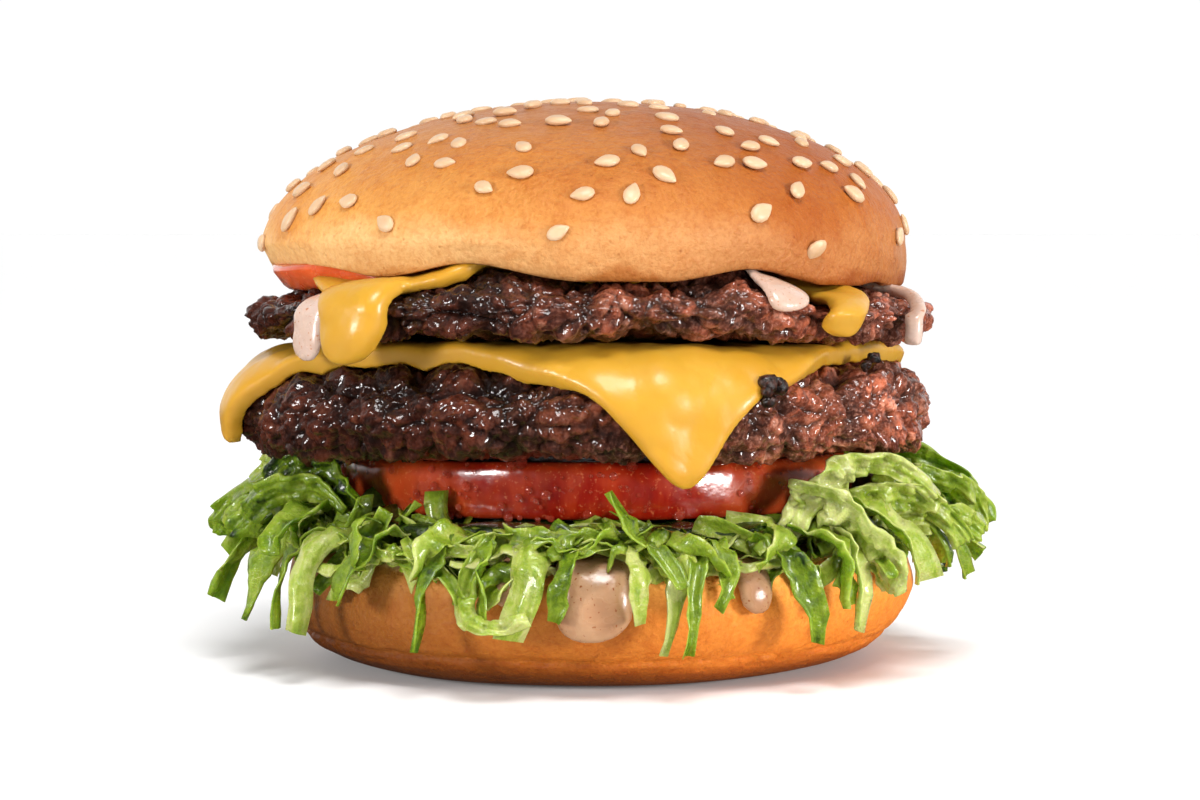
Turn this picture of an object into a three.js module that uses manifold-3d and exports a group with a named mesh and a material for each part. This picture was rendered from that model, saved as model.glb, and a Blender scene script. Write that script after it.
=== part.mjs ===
// A double cheeseburger in a sesame-seed bun: a scene graph of closed solids, one named mesh for each layer.
// Units are millimetres, +Z is up and the front faces -Y. The origin is the centre of the bottom bun's foot.
//
// Each layer is built level and round about the Z axis, a small gap above the one below. One warp then settles
// the whole stack: it lets the soft layers droop at the left and right and shifts each a little sideways.

import * as THREE from "three";
import { mergeVertices } from "three/addons/utils/BufferGeometryUtils.js";
import Module from "manifold-3d";

const wasm = await Module();
wasm.setup();

const { degToRad, smoothstep, lerp } = THREE.MathUtils;
const QUARTER = Math.PI / 2;

// ---------------------------------------------------------------- driving dimensions

const GAP = 0.45; // clearance between the smooth forms of two layers that touch
const COLUMNS = 48; // facets round each layer of the stack
const COLUMN_TURN = -1.5; // degrees by which the facets are turned, so that the slices' corners meet an edge
const CUT_GAP = 0.25; // clearance where one layer is cut back to make room for another

const HEEL = { footR: 33, waistR: 50.3, waistZ: 12.2, topZ: 19.2, round: 4.5 }; // the bottom bun
const CROWN = { rimR: 49.2, rimZ: 60.6, waistR: 51.3, waistZ: 66.4, topZ: 88.2 }; // the top bun
const SAUCE = 0.9; // thickness of each spread of sauce
const CHEESE = 2.4; // thickness of a melted cheese slice
const TOMATO = { r: 40.3, thick: 8.6, bulge: 1.4 };
const TOP_TOMATO = { r: 33, thick: 2.8, x: -13, y: -5.2 }; // a thinner slice, pushed out to the left
const PATTY_R = 54;
const PATTY_COLUMNS = 60;
const LOWER_THICK = 14.2; // the lower patty is the thicker and blunter of the two
const LOWER_ROUND = 8;
const UPPER_THICK = 9.2;
const UPPER_ROUND = 14;
const LETTUCE_THICK = 3.8; // the pressed bed of shreds under the thick tomato slice
const LETTUCE_HEAP = 7; // how much higher it stands at the left and right of the tomato

// Heights of the layers' undersides, from the bottom up.
const lettuceZ = HEEL.topZ + SAUCE + 2 * GAP;
const tomatoZ = lettuceZ + LETTUCE_THICK + GAP;
const lowerPattyZ = tomatoZ + TOMATO.thick + GAP;
const upperPattyZ = lowerPattyZ + LOWER_THICK + CHEESE + 2 * GAP;
const hollowZ = upperPattyZ + UPPER_THICK + SAUCE + CHEESE + TOP_TOMATO.thick + 4 * GAP; // in the top bun

// ---------------------------------------------------------------- repeatable chance

// A generator of numbers from 0 to 1 that gives the same run for the same seed.
function draws(seed) {
  let state = seed >>> 0;
  return () => {
    state = (state + 0x6d2b79f5) >>> 0;
    let t = Math.imul(state ^ (state >>> 15), state | 1);
    t ^= t + Math.imul(t ^ (t >>> 7), t | 61);
    return ((t ^ (t >>> 14)) >>> 0) / 4294967296;
  };
}

// A number from 0 to 1 that belongs to one cell of a cubic lattice.
function cellDraw(i, j, k, n) {
  let h = Math.imul(i, 0x27d4eb2d) ^ Math.imul(j, 0x165667b1) ^ Math.imul(k, 0x1b873593);
  h ^= Math.imul(n, 0x2545f491);
  h = Math.imul(h ^ (h >>> 15), 0x85ebca6b);
  h = Math.imul(h ^ (h >>> 13), 0xc2b2ae35);
  return ((h ^ (h >>> 16)) >>> 0) / 4294967296;
}

// The squared distance, in cells, from p to the nearest of the points scattered one to a cell.
function nearestSquared(p, size) {
  const [x, y, z] = [p.x / size, p.y / size, p.z / size];
  const [ci, cj, ck] = [Math.floor(x), Math.floor(y), Math.floor(z)];
  let nearest = Infinity;
  for (let i = ci - 1; i <= ci + 1; i++)
    for (let j = cj - 1; j <= cj + 1; j++)
      for (let k = ck - 1; k <= ck + 1; k++) {
        const dx = i + cellDraw(i, j, k, 1) - x;
        const dy = j + cellDraw(i, j, k, 2) - y;
        const dz = k + cellDraw(i, j, k, 3) - z;
        nearest = Math.min(nearest, dx * dx + dy * dy + dz * dz);
      }
  return nearest;
}

// ---------------------------------------------------------------- settling of the stack

const LEAN = [ // sideways shift of the stack at each height
  { z: 0, x: 0 },
  { z: 12, x: 1.8 },
  { z: 20, x: 1.8 },
  { z: 29, x: 1.0 },
  { z: 41, x: -0.5 },
  { z: 56, x: 0.2 },
  { z: 66, x: -1.1 },
  { z: 90, x: 0.8 },
];
const SAG = 1.8; // how far the soft layers droop at their left and right ends
const LEFT_SAG = 0.45; // how unevenly the lower layers do so, the left end more than the right
const CROWN_SAG = 0.45; // the share of the droop that the top bun keeps

function leanAt(z) {
  const upper = LEAN.findIndex((row) => row.z > z);
  if (upper === 0) return LEAN[0].x;
  if (upper < 0) return LEAN[LEAN.length - 1].x;
  const [a, b] = [LEAN[upper - 1], LEAN[upper]];
  return lerp(a.x, b.x, (z - a.z) / (b.z - a.z));
}

function settle(p) {
  const share = smoothstep(p.z, 20, 36) * lerp(1, CROWN_SAG, smoothstep(p.z, 60, 76));
  const uneven = LEFT_SAG * (1 - smoothstep(p.z, 42, 54));
  const across = p.x / PATTY_R;
  p.z -= SAG * (1 - uneven * across) * across * across * share;
  p.x += leanAt(p.z);
  return p;
}

// ---------------------------------------------------------------- geometry helpers

// A closed geometry as a solid, with each of its vertices moved by place().
function solidOf(geometry, place) {
  const bare = geometry.clone();
  bare.deleteAttribute("normal");
  bare.deleteAttribute("uv");
  const position = bare.getAttribute("position");
  const p = new THREE.Vector3();
  for (let i = 0; i < position.count; i++) {
    place(p.fromBufferAttribute(position, i));
    position.setXYZ(i, p.x, p.y, p.z);
  }
  const merged = mergeVertices(bare, 1e-3);
  return new wasm.Manifold(
    new wasm.Mesh({
      numProp: 3,
      vertProperties: merged.getAttribute("position").array,
      triVerts: new Uint32Array(merged.index.array),
    }),
  );
}

// A profile of [radius, height] pairs, from the bottom of the axis out and up to its top, turned about Z.
function turned(profile, columns = COLUMNS) {
  const points = profile.map(([r, z]) => new THREE.Vector2(r, z));
  return new THREE.LatheGeometry(points, columns).rotateX(QUARTER).rotateZ(degToRad(COLUMN_TURN));
}

// The biggest body of a solid, which drops the scraps that a cut leaves behind.
function whole(solid) {
  return solid.decompose().reduce((a, b) => (a.volume() > b.volume() ? a : b));
}

function meshOf(name, solid, material) {
  const { numVert, numProp, vertProperties, triVerts } = solid.getMesh();
  const position = new Float32Array(numVert * 3);
  for (let i = 0; i < numVert; i++)
    position.set(vertProperties.subarray(i * numProp, i * numProp + 3), i * 3);
  const geometry = new THREE.BufferGeometry();
  geometry.setAttribute("position", new THREE.BufferAttribute(position, 3));
  geometry.setIndex(new THREE.BufferAttribute(triVerts, 1));
  geometry.computeVertexNormals();
  const mesh = new THREE.Mesh(geometry, material);
  mesh.name = name;
  return mesh;
}

const azimuthOf = (p) => Math.atan2(p.y, p.x);

// A smooth bump of 1 at an azimuth, in degrees, that dies away over a few widths.
function bumpAt(theta, degrees, width) {
  const away = Math.atan2(Math.sin(theta - degToRad(degrees)), Math.cos(theta - degToRad(degrees)));
  return Math.exp(-((away / degToRad(width)) ** 2));
}

// ---------------------------------------------------------------- the smooth skin of a round layer

// A carrier is a round layer that others lie on: a level top, an edge rounded as a quarter ellipse and a
// straight side.
const levelRun = (carrier, theta) => carrier.radius(theta) - carrier.round;
const bendRun = (carrier) => QUARTER * Math.sqrt((carrier.round ** 2 + carrier.half ** 2) / 2);

// The [radius, height] at a distance s along the skin, out from the axis and over the edge, held off by lift.
function skinPoint(carrier, theta, s, lift) {
  const level = levelRun(carrier, theta);
  const rise = carrier.rise(theta, Math.min(s, level));
  if (s <= level) return [s, carrier.midZ + carrier.half + rise + lift];
  const bend = bendRun(carrier);
  const turn = Math.min(1, (s - level) / bend) * QUARTER;
  const down = Math.max(0, s - level - bend);
  return [
    level + (carrier.round + lift) * Math.sin(turn) - carrier.tuck * down * down,
    carrier.midZ + (carrier.half + rise + lift) * Math.cos(turn) - down,
  ];
}

const EDGE_TURNS = [0, 0.3, 0.6, 0.85]; // rings over the rounded edge, as shares of its run
const HANGING_TURNS = [1.15, 1.6]; // and past it, where a sheet hangs

// ---------------------------------------------------------------- patties

// Each patty: [lobes, height, phase] of the waves in its outline, and [azimuth, rise, width] of the humps in
// its rim.
const LOWER_WAVES = [[2, 0.5, 0.4], [3, 0.8, 2.1], [5, 0.7, 0.9], [8, 0.5, 4.0], [13, 0.35, 1.3]];
const LOWER_HUMPS = [[-122, 0.6, 14], [-20, 1.0, 12]];
const UPPER_WAVES = [[2, 0.4, 3.4], [3, 0.7, 0.2], [5, 0.8, 2.9], [7, 0.6, 1.1], [12, 0.4, 5.2]];
const UPPER_HUMPS = [[-107, 2.6, 7], [-64, 2.8, 8], [-165, -0.2, 20], [-132, -2.0, 9], [-48, -2.6, 8]];

const PATTY_SPREAD = 0.6; // how much further its smooth skin reaches than its mean radius

// Its underside is rounded more tightly, and its rim hangs a little from one radius to another.
const LOWER_UNDER = { round: 6, rim: [41.5, 46], hang: 0.4 };
const UPPER_UNDER = { round: 5, rim: [47.5, 51], hang: 0.3 };

function pattyCarrier(bottomZ, thick, round, waves, humps, under) {
  const waveAt = (theta, [lobes, high, phase]) => high * Math.cos(lobes * theta + phase);
  const wave = (theta) => waves.reduce((sum, row) => sum + waveAt(theta, row), 0);
  const hump = (theta) => humps.reduce((sum, [at, rise, width]) => sum + rise * bumpAt(theta, at, width), 0);
  return {
    radius: (theta) => PATTY_R + PATTY_SPREAD + wave(theta),
    rise: (theta, s) => smoothstep(s, 0.6 * PATTY_R, PATTY_R - round) * hump(theta),
    round,
    half: thick / 2,
    midZ: bottomZ + thick / 2,
    tuck: 0,
    under,
  };
}
const lowerPatty = pattyCarrier(lowerPattyZ, LOWER_THICK, LOWER_ROUND, LOWER_WAVES, LOWER_HUMPS, LOWER_UNDER);
const upperPatty = pattyCarrier(upperPattyZ, UPPER_THICK, UPPER_ROUND, UPPER_WAVES, UPPER_HUMPS, UPPER_UNDER);

// The minced beef's lumps: how deep the surface lies under the smooth skin at p.
const LUMPS = [{ size: 8.0, depth: 2.2 }, { size: 4.3, depth: 1.0 }];
const LUMP_STEEPNESS = 1.4;
const lumpDepth = (p) =>
  LUMPS.reduce((sum, lump) => {
    return sum + lump.depth * Math.min(1, LUMP_STEEPNESS * nearestSquared(p, lump.size));
  }, 0);
const LEVEL_SHARE = 0.3; // the share of that depth on the level faces, where other layers press it flat

// A patty, sunk below its smooth skin by depthAt(p), or by less of it away from the edge.
function pattySolid(patty, depthAt = lumpDepth) {
  const { round, rim, hang } = patty.under;
  const underside = { ...patty, round, rise: (_, s) => hang * smoothstep(s, ...rim) };
  const below = [[0, -1], [0.8, -1], ...EDGE_TURNS.map((turn) => [1 + turn, -1])];
  const profile = [...below, ...below.toReversed().map(([run]) => [run, 1])];
  return solidOf(turned(profile, PATTY_COLUMNS), (p) => {
    const [run, theta, side] = [Math.hypot(p.x, p.y), azimuthOf(p), p.z];
    const face = side > 0 ? patty : underside;
    const s = run <= 1 ? run * levelRun(face, theta) : levelRun(face, theta) + (run - 1) * bendRun(face);
    const [r, z] = skinPoint(face, theta, s, 0);
    p.set(r * Math.cos(theta), r * Math.sin(theta), side > 0 ? z : 2 * patty.midZ - z);
    const turn = Math.max(0, run - 1) * QUARTER;
    const inward = new THREE.Vector3(-Math.cos(theta), -Math.sin(theta), 0).multiplyScalar(Math.sin(turn));
    inward.z = -side * Math.cos(turn);
    const depth = depthAt(p);
    settle(p.addScaledVector(inward, depth > 0 && run < 0.9 ? LEVEL_SHARE * depth : depth));
  });
}

// ---------------------------------------------------------------- draped sheets: cheese, sauce and thin tomato

// A sheet lies on a carrier out to reach(theta) along its skin. Where it lies over other sheets too, stack is
// how high they stand, and from over(theta) on it slopes down over a distance of slope.
function sheetLift(sheet, theta, s) {
  const { over, slope, stack } = sheet;
  return GAP + (stack > 0 ? stack * (1 - smoothstep(s, over(theta), over(theta) + slope)) : 0);
}

// Thickness at s: pressed is [from, to, share], for a sheet that changes to that share of it at its rim.
function thicknessAt({ thick, pressed: [from, to, share] }, s) {
  return thick * lerp(1, share, smoothstep(s, from, to));
}

function sheetStations(sheet, theta) {
  const { carrier } = sheet;
  const [level, bend] = [levelRun(carrier, theta), bendRun(carrier)];
  const inner = sheet.stack > 0 ? [sheet.over(theta), sheet.over(theta) + sheet.slope] : [0.8 * level];
  const rings = [0, ...inner, ...[...EDGE_TURNS, ...HANGING_TURNS].map((turn) => level + turn * bend)];
  return [...rings.sort((a, b) => a - b).map((s) => Math.min(s, sheet.reach(theta))), sheet.reach(theta)];
}

function sheetSolid(sheet, grow = 0) {
  const count = sheetStations(sheet, 0).length;
  const below = Array.from({ length: count }, (_, ring) => [ring, -1]);
  const profile = [...below, ...below.toReversed().map(([ring]) => [ring, 1])];
  return solidOf(turned(profile, sheet.columns), (p) => {
    const [ring, theta, side] = [Math.round(Math.hypot(p.x, p.y)), azimuthOf(p), p.z];
    const s = sheetStations(sheet, theta)[ring] + (ring === count - 1 ? grow : 0);
    const lift = sheetLift(sheet, theta, s) + (side > 0 ? thicknessAt(sheet, s) + grow : -grow);
    const [r, z] = skinPoint(sheet.carrier, theta, s, lift);
    settle(p.set(r * Math.cos(theta), r * Math.sin(theta), z));
  });
}

const TONGUE_STEPS = 7;
const TONGUE_LIFT = 0.6; // clearance of a tongue from the skin that it runs over
const TONGUE_RIM = [45, 52, 0.4]; // it is 0.4 as thick up to the bun's rim, and full a little way past it

const tongueThickness = (thick, s) => {
  const [from, to, share] = TONGUE_RIM;
  return thick * lerp(share, 1, smoothstep(s, from, to));
};

// A tongue runs on from a sheet, over the edge of its carrier, to a rounded end. It is thickest at its middle.
function tongueSolid(carrier, { at, width, from, to, thick, grow = 0 }) {
  return solidOf(new THREE.BoxGeometry(1, 1, 1, 2, TONGUE_STEPS, 1), (p) => {
    const along = 1 - (0.5 - p.y) ** 1.7;
    const s = lerp(from, to, along);
    const fromEnd = Math.min(1, (to - s) / (0.55 * width));
    const half = (width / 2) * Math.max(0.5, (1 - (1 - fromEnd) ** 2.4) ** (1 / 2.4));
    const theta = degToRad(at) - (2 * p.x * half) / PATTY_R;
    const high = p.z > 0 ? tongueThickness(thick, s) * (p.x === 0 ? 1 : 0.62) + grow : -grow;
    const [r, z] = skinPoint(carrier, theta, s, TONGUE_LIFT + high);
    settle(p.set(r * Math.cos(theta), r * Math.sin(theta), z));
  });
}

// How far a sheet and its tongues go at theta.
function coverReach(sheet, theta) {
  const tongues = sheet.tongues.filter(({ at, width }) => {
    const away = theta - degToRad(at);
    return Math.abs(Math.atan2(Math.sin(away), Math.cos(away))) < (0.5 * width) / PATTY_R;
  });
  return Math.max(sheet.reach(theta), ...tongues.map((tongue) => tongue.to));
}

// The furthest that a sheet and its tongues go within one facet to either side of theta.
function furthest(sheet, theta) {
  const step = (2 * Math.PI) / COLUMNS;
  return Math.max(...[-1, -0.5, 0, 0.5, 1].map((share) => coverReach(sheet, theta + share * step)));
}

// How far a square slice with rounded corners reaches from its middle towards theta, with what has melted.
function sliceReach(slice, theta) {
  let sum = 0;
  for (let side = 0; side < 4; side++) {
    const along = Math.cos(theta - degToRad(slice.corner + 45) - side * QUARTER);
    if (along > 0) sum += (along / slice.half) ** slice.sharp;
  }
  const melt = (total, [at, more, width]) => total + more * bumpAt(theta, at, width);
  return sum ** (-1 / slice.sharp) + slice.melted.reduce(melt, 0);
}

const heelCarrier = {
  radius: () => HEEL.waistR,
  rise: () => 0,
  round: HEEL.round,
  half: HEEL.topZ - HEEL.waistZ,
  midZ: HEEL.waistZ,
  tuck: 0.06,
};

const DISC_COLUMNS = 20; // facets round a plain disc of sauce

// A spread of sauce is a level round patch with tongues of [azimuth, width, end along the skin, thickness],
// which start TONGUE_ROOT inside the patch's edge.
const TONGUE_ROOT = 6;
const sauceSheet = (carrier, edge, tongues) => ({
  carrier,
  columns: DISC_COLUMNS,
  reach: () => edge,
  stack: 0,
  thick: SAUCE,
  pressed: [0, 1, 1],
  tongues: tongues.map(([at, width, to, thick]) => ({ at, width, from: edge - TONGUE_ROOT, to, thick })),
});
const lowerSauce = sauceSheet(heelCarrier, 43, [
  [-91.5, 12.5, 58.5, 2.6],
  [-106, 3.5, 54, 1.6],
  [-64, 6, 55, 1.6],
  [-28, 8, 54.5, 1.8],
  [98, 8, 56, 2],
]);
const upperSauce = sauceSheet(upperPatty, 30, [
  [-141.5, 8, 62, 1.2],
  [-56.5, 6.5, 55, 1.6],
  [-28, 4, 62, 1.3],
  [75, 7, 60, 1.8],
]);

// Each slice of cheese: the azimuth of one corner, half its side, how sharp its corners are, and where it has
// melted longer or shrunk back, as [azimuth, length, width].
const LOWER_SLICE = {
  corner: -76.5,
  half: 46.5,
  sharp: 18,
  melted: [[-76.5, 5.6, 8], [-57, 2.2, 9], [-166.5, -1.5, 9], [-150, -1.5, 8], [13.5, -13, 14]],
};
const UPPER_SLICE = { corner: -131.5, half: 41, sharp: 5, melted: [[-113, 3.8, 8], [-41.5, -7, 17]] };
const lowerCheese = {
  carrier: lowerPatty,
  reach: (theta) => sliceReach(LOWER_SLICE, theta),
  stack: 0,
  thick: CHEESE,
  pressed: [0, 1, 1],
  tongues: [],
};
const upperCheese = {
  carrier: upperPatty,
  reach: (theta) => sliceReach(UPPER_SLICE, theta),
  over: (theta) => furthest(upperSauce, theta),
  slope: 2.5,
  stack: SAUCE + GAP,
  thick: CHEESE,
  pressed: [38, 46, 0.4],
  tongues: [
    { at: -130.5, width: 14, from: 36, to: 63, thick: 4 },
    { at: -50.5, width: 9, from: 36, to: 59.5, thick: 3 },
    { at: 140, width: 8, from: 36, to: 60, thick: 3 },
  ],
};

// The thin tomato slice is round about a point of its own, droops from the middle of the cheese on, and swells
// into a wedge where it shows under the bun at the left.
function offsetDiscReach(disc, theta) {
  const along = disc.x * Math.cos(theta) + disc.y * Math.sin(theta);
  return along + Math.sqrt(disc.r ** 2 - disc.x ** 2 - disc.y ** 2 + along ** 2);
}
const topTomato = {
  carrier: upperPatty,
  reach: (theta) => offsetDiscReach(TOP_TOMATO, theta),
  over: () => 33,
  slope: 13,
  stack: SAUCE + CHEESE + 2 * GAP,
  thick: TOP_TOMATO.thick,
  pressed: [38, 46, 1.3],
  tongues: [],
};

// ---------------------------------------------------------------- buns

const BUN_COLUMNS = 40; // facets round the bottom bun

// The bottom bun: a flat foot, a seam where it rose against its pan, a full waist and a level cut face.
const HEEL_SIDE = [[40.5, 1.0], [45.4, 3.1], [47.1, 4.9], [48.9, 7.4]]; // from the foot to the waist

function heelSolid(grow = 0) {
  const { footR, waistR, waistZ, topZ, round } = HEEL;
  const profile = [[0, 0], [footR, 0], ...HEEL_SIDE, [waistR, waistZ]];
  for (const share of EDGE_TURNS.toReversed()) {
    const turn = share * QUARTER;
    profile.push([waistR - round * (1 - Math.sin(turn)), waistZ + (topZ - waistZ) * Math.cos(turn)]);
  }
  profile.push([0, topZ]);
  return solidOf(turned(profile, BUN_COLUMNS), (p) => {
    const [r, theta] = [Math.hypot(p.x, p.y), azimuthOf(p)];
    const wobble = r > footR ? 0.35 * Math.cos(3 * theta + 1) + 0.25 * Math.cos(7 * theta + 2.4) - 0.6 : 0;
    const reach = r > 0 ? (r + wobble + grow) / r : 1;
    settle(p.set(p.x * reach, p.y * reach, p.z > 0 ? p.z + grow : p.z));
  });
}

// How high the fillings under the top bun stand, close round a place at radius r.
const FILLINGS_NEAR = 1.2;
const FILLINGS_STEP = 0.5;

function fillingsTop(theta, r) {
  const step = (2 * Math.PI) / COLUMNS;
  let top = 0;
  const look = (azimuth, s, lift) => {
    const [at, z] = skinPoint(upperPatty, azimuth, s, lift);
    if (Math.abs(at - r) < FILLINGS_NEAR) top = Math.max(top, z);
  };
  for (const azimuth of [theta - step, theta, theta + step])
    for (let s = r - 8; s < r + 20; s += FILLINGS_STEP) {
      look(azimuth, s, 0);
      for (const sheet of [upperCheese, upperSauce, topTomato])
        if (s < coverReach(sheet, azimuth))
          look(azimuth, s, sheetLift(sheet, azimuth, s) + thicknessAt(sheet, s));
    }
  return top;
}

// The [radius, height] on the top bun's outside at an angle from straight up, in degrees. Past 90 it turns in
// below the waist.
function domePoint(degrees) {
  const [sin, cos] = [Math.sin(degToRad(degrees)), Math.cos(degToRad(degrees))];
  const high = cos > 0 ? CROWN.topZ - CROWN.waistZ : CROWN.waistZ - CROWN.rimZ;
  return [CROWN.waistR * sin, CROWN.waistZ + cos * high];
}

// The top bun: a dome with a turned-in lip that rides up over the fillings, and a hollow below where it has
// settled on them.
const DOME_TURNS = [90, 76, 62, 48, 33, 18, 0]; // degrees from straight up

function crownSolid() {
  const { rimR, rimZ, waistZ } = CROWN;
  const hollow = [[0, hollowZ], [37, hollowZ], [42, hollowZ - 2.5], [45.8, rimZ + 1.6]];
  const profile = [...hollow, [rimR, rimZ], [50.6, rimZ + 1.8], ...DOME_TURNS.map(domePoint)];
  return solidOf(turned(profile), (p) => {
    const [r, theta] = [Math.hypot(p.x, p.y), azimuthOf(p)];
    const underside = r < rimR + 0.1 && p.z < hollowZ + 0.1 && r > 1;
    if (underside) p.z = Math.max(p.z, fillingsTop(theta, r) + GAP);
    else if (p.z < waistZ - 1) p.z += 0.8 * Math.max(0, fillingsTop(theta, rimR + 1) + GAP - rimZ);
    settle(p);
  });
}

// ---------------------------------------------------------------- sesame seeds

const SEEDS = { count: 74, long: 3.9, wide: 2.5, deep: 1.7, lowest: 98, closeAtTop: 5.2, closeAtWaist: 7.6 };

// Where the seeds lie: the angle down the dome in degrees, the azimuth, how each is turned and its size.
function seedPlaces(count) {
  const draw = draws(11);
  const places = [];
  while (places.length < count) {
    const degrees = (Math.acos(lerp(1, Math.cos(degToRad(SEEDS.lowest)), draw())) * 180) / Math.PI;
    const theta = 2 * Math.PI * draw();
    const [turn, scale] = [2 * Math.PI * draw(), lerp(0.86, 1.12, draw())];
    const [r, z] = domePoint(degrees);
    const at = new THREE.Vector3(r * Math.cos(theta), r * Math.sin(theta), z);
    const apart = lerp(SEEDS.closeAtTop, SEEDS.closeAtWaist, degrees / 90);
    if (places.every((other) => other.at.distanceTo(at) > apart))
      places.push({ at, degrees, theta, turn, scale });
  }
  return places;
}

// A flat teardrop, lying on the dome and sunk a third of the way into it.
function seedSolid({ at, degrees, theta, turn, scale }) {
  const [[r0, z0], [r1, z1]] = [domePoint(degrees - 0.5), domePoint(degrees + 0.5)];
  const normal = new THREE.Vector3((z0 - z1) * Math.cos(theta), (z0 - z1) * Math.sin(theta), r1 - r0);
  normal.normalize();
  const stand = new THREE.Quaternion().setFromUnitVectors(new THREE.Vector3(0, 0, 1), normal);
  const lie = new THREE.Quaternion().setFromAxisAngle(normal, turn).multiply(stand);
  return solidOf(new THREE.SphereGeometry(1, 6, 2), (p) => {
    const pointed = p.y > 0 ? 1 - 0.35 * p.y : 1;
    p.set((p.x * SEEDS.wide * pointed) / 2, (p.y * SEEDS.long) / 2, (p.z * SEEDS.deep) / 2 + 0.25);
    settle(p.multiplyScalar(scale).applyQuaternion(lie).add(at));
  });
}

// ---------------------------------------------------------------- tomato

// A thick round slice with its skin bulging round the side.
function tomatoSolid() {
  const half = TOMATO.thick / 2;
  const { r, bulge } = TOMATO;
  const profile = [[0, -half], [r - bulge, -half], [r - 0.25, -half * 0.55], [r, 0]];
  profile.push([r - 0.25, half * 0.55], [r - bulge, half], [0, half]);
  return solidOf(turned(profile, 44), (p) => {
    const theta = azimuthOf(p);
    const lobes = 1 + 0.007 * Math.cos(5 * theta + 0.5) + 0.006 * Math.cos(2 * theta);
    settle(p.set(p.x * lobes, p.y * lobes, p.z + tomatoZ + half));
  });
}

// ---------------------------------------------------------------- lettuce

// The pressed bed of shreds, heaped up at the left and right of the tomato.
function lettuceBed() {
  const low = lettuceZ;
  const high = lettuceZ + LETTUCE_THICK;
  const inner = TOMATO.r + 1;
  const rim = [[0, low], [44, low], [46.8, low + 1.2], [47.4, high - 0.8], [45, high], [inner + 0.8, high]];
  return solidOf(turned([...rim, [inner, high - 0.01], [0, high - 0.01]], 40), (p) => {
    const [r, theta] = [Math.hypot(p.x, p.y), azimuthOf(p)];
    const heaped = smoothstep(Math.abs(Math.cos(theta)), 0.76, 0.93) * (0.9 + 0.1 * Math.sin(7 * theta));
    if (r > inner + 0.5 && p.z > low + 2) p.z += heaped * LETTUCE_HEAP * (r > 47 ? 0.6 : 1);
    const waves = 0.025 * Math.sin(11 * theta + 1) + 0.015 * Math.sin(17 * theta);
    const ragged = 1 + smoothstep(r, 43, 48) * waves;
    settle(p.set(p.x * ragged, p.y * ragged, p.z));
  });
}

const SHRED_THICK = 0.9;
const SHRED_STEPS = 3; // facets along a shred
const LEAF_STEPS = 4; // and along an arching leaf

// A strip along a path, square cut at its ends. Its width lies along side, and it twists by some degrees.
function stripSolid(path, side, width, twist, steps) {
  return solidOf(new THREE.BoxGeometry(width, SHRED_THICK, 1, 1, 1, steps), (p) => {
    const t = p.z + 0.5;
    const along = path.getTangent(t);
    const across = side.clone().addScaledVector(along, -side.dot(along)).normalize();
    across.applyAxisAngle(along, degToRad(twist) * t);
    const face = new THREE.Vector3().crossVectors(along, across);
    settle(p.copy(path.getPoint(t).addScaledVector(across, p.x).addScaledVector(face, p.y)));
  });
}

// One shred: a strip that leaves the bed, arches over and hangs. Those at the left and right fan out more.
function shredSolid({ azimuth, from, height, reach, rise, drop, lean, width, twist }) {
  const theta = degToRad(azimuth);
  const out = new THREE.Vector3(Math.cos(theta), Math.sin(theta), 0);
  const side = new THREE.Vector3(-Math.sin(theta), Math.cos(theta), 0);
  const at = (share, across, z) => {
    return out.clone().multiplyScalar(from + reach * share).addScaledVector(side, across).setZ(z);
  };
  const fan = Math.cos(theta) ** 4;
  const path = new THREE.CubicBezierCurve3(
    at(0, 0, height),
    at(lerp(0.6, 0.3, fan), lean * 0.1, height + rise),
    at(lerp(1.05, 0.7, fan), lean * 0.5, height + rise * lerp(0.6, 0.4, fan)),
    at(1, lean, height - drop),
  );
  return stripSolid(path, side, width, twist, SHRED_STEPS);
}

// The shreds that show most, from the left end round the front to the right end: azimuth, height where it
// leaves the bed, rise, drop below that height, lean, width and twist.
const FRONT_SHREDS = [
  [-182, 25, 5, 9, 4, 5, 40],
  [-174, 22, 3, 12, 3, 4.5, 25],
  [-166, 27, 4, 6, -4, 4, 50],
  [-160, 22, 3, 13, 5, 5, -20],
  [-152, 25, 3, 5, 7, 5, 30],
  [-146, 22, 2.5, 14, -4, 4, 30],
  [-140, 22, 3, 13.8, -2, 4.2, -10],
  [-134, 23, 4, 4, 6, 3.6, 40],
  [-128, 22, 3.5, 8.5, -4, 5, 20],
  [-116.5, 22, 2.5, 14.6, -1, 3.2, 10],
  [-113, 22.5, 3, 5, -7, 3.6, -50],
  [-110.5, 21.8, 2, 10, 3, 3.2, 35],
  [-99, 21.8, 2, 12.3, -5, 5.6, -6],
  [-95.5, 21.6, 1.5, 9.4, -1, 3.1, 5],
  [-84.5, 21.8, 2, 9.6, 1, 3.4, -10],
  [-80, 22.5, 3, 4, 8, 3.4, 50],
  [-77.3, 22, 2.5, 14.8, -1, 3.1, 10],
  [-73.6, 22, 2.5, 14.6, -3, 2.8, -15],
  [-69, 21.8, 2, 8, -4, 3.2, -25],
  [-62, 22, 3, 14, 5.5, 4.2, 15],
  [-57, 23, 3.5, 4, -8, 3.6, -40],
  [-52, 22, 3, 9, 3, 3.6, -20],
  [-46.5, 22, 2.5, 12.6, 0, 3.4, -10],
  [-39, 27, 3.5, 11.5, 3, 8, 10],
  [-26, 25, 4, 8, 5, 5, 40],
  [-15, 23, 3, 9, 3, 4.5, 30],
  [-5, 25, 5, 8, -3, 5, -30],
];
const OTHER_SHREDS = 11;

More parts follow.
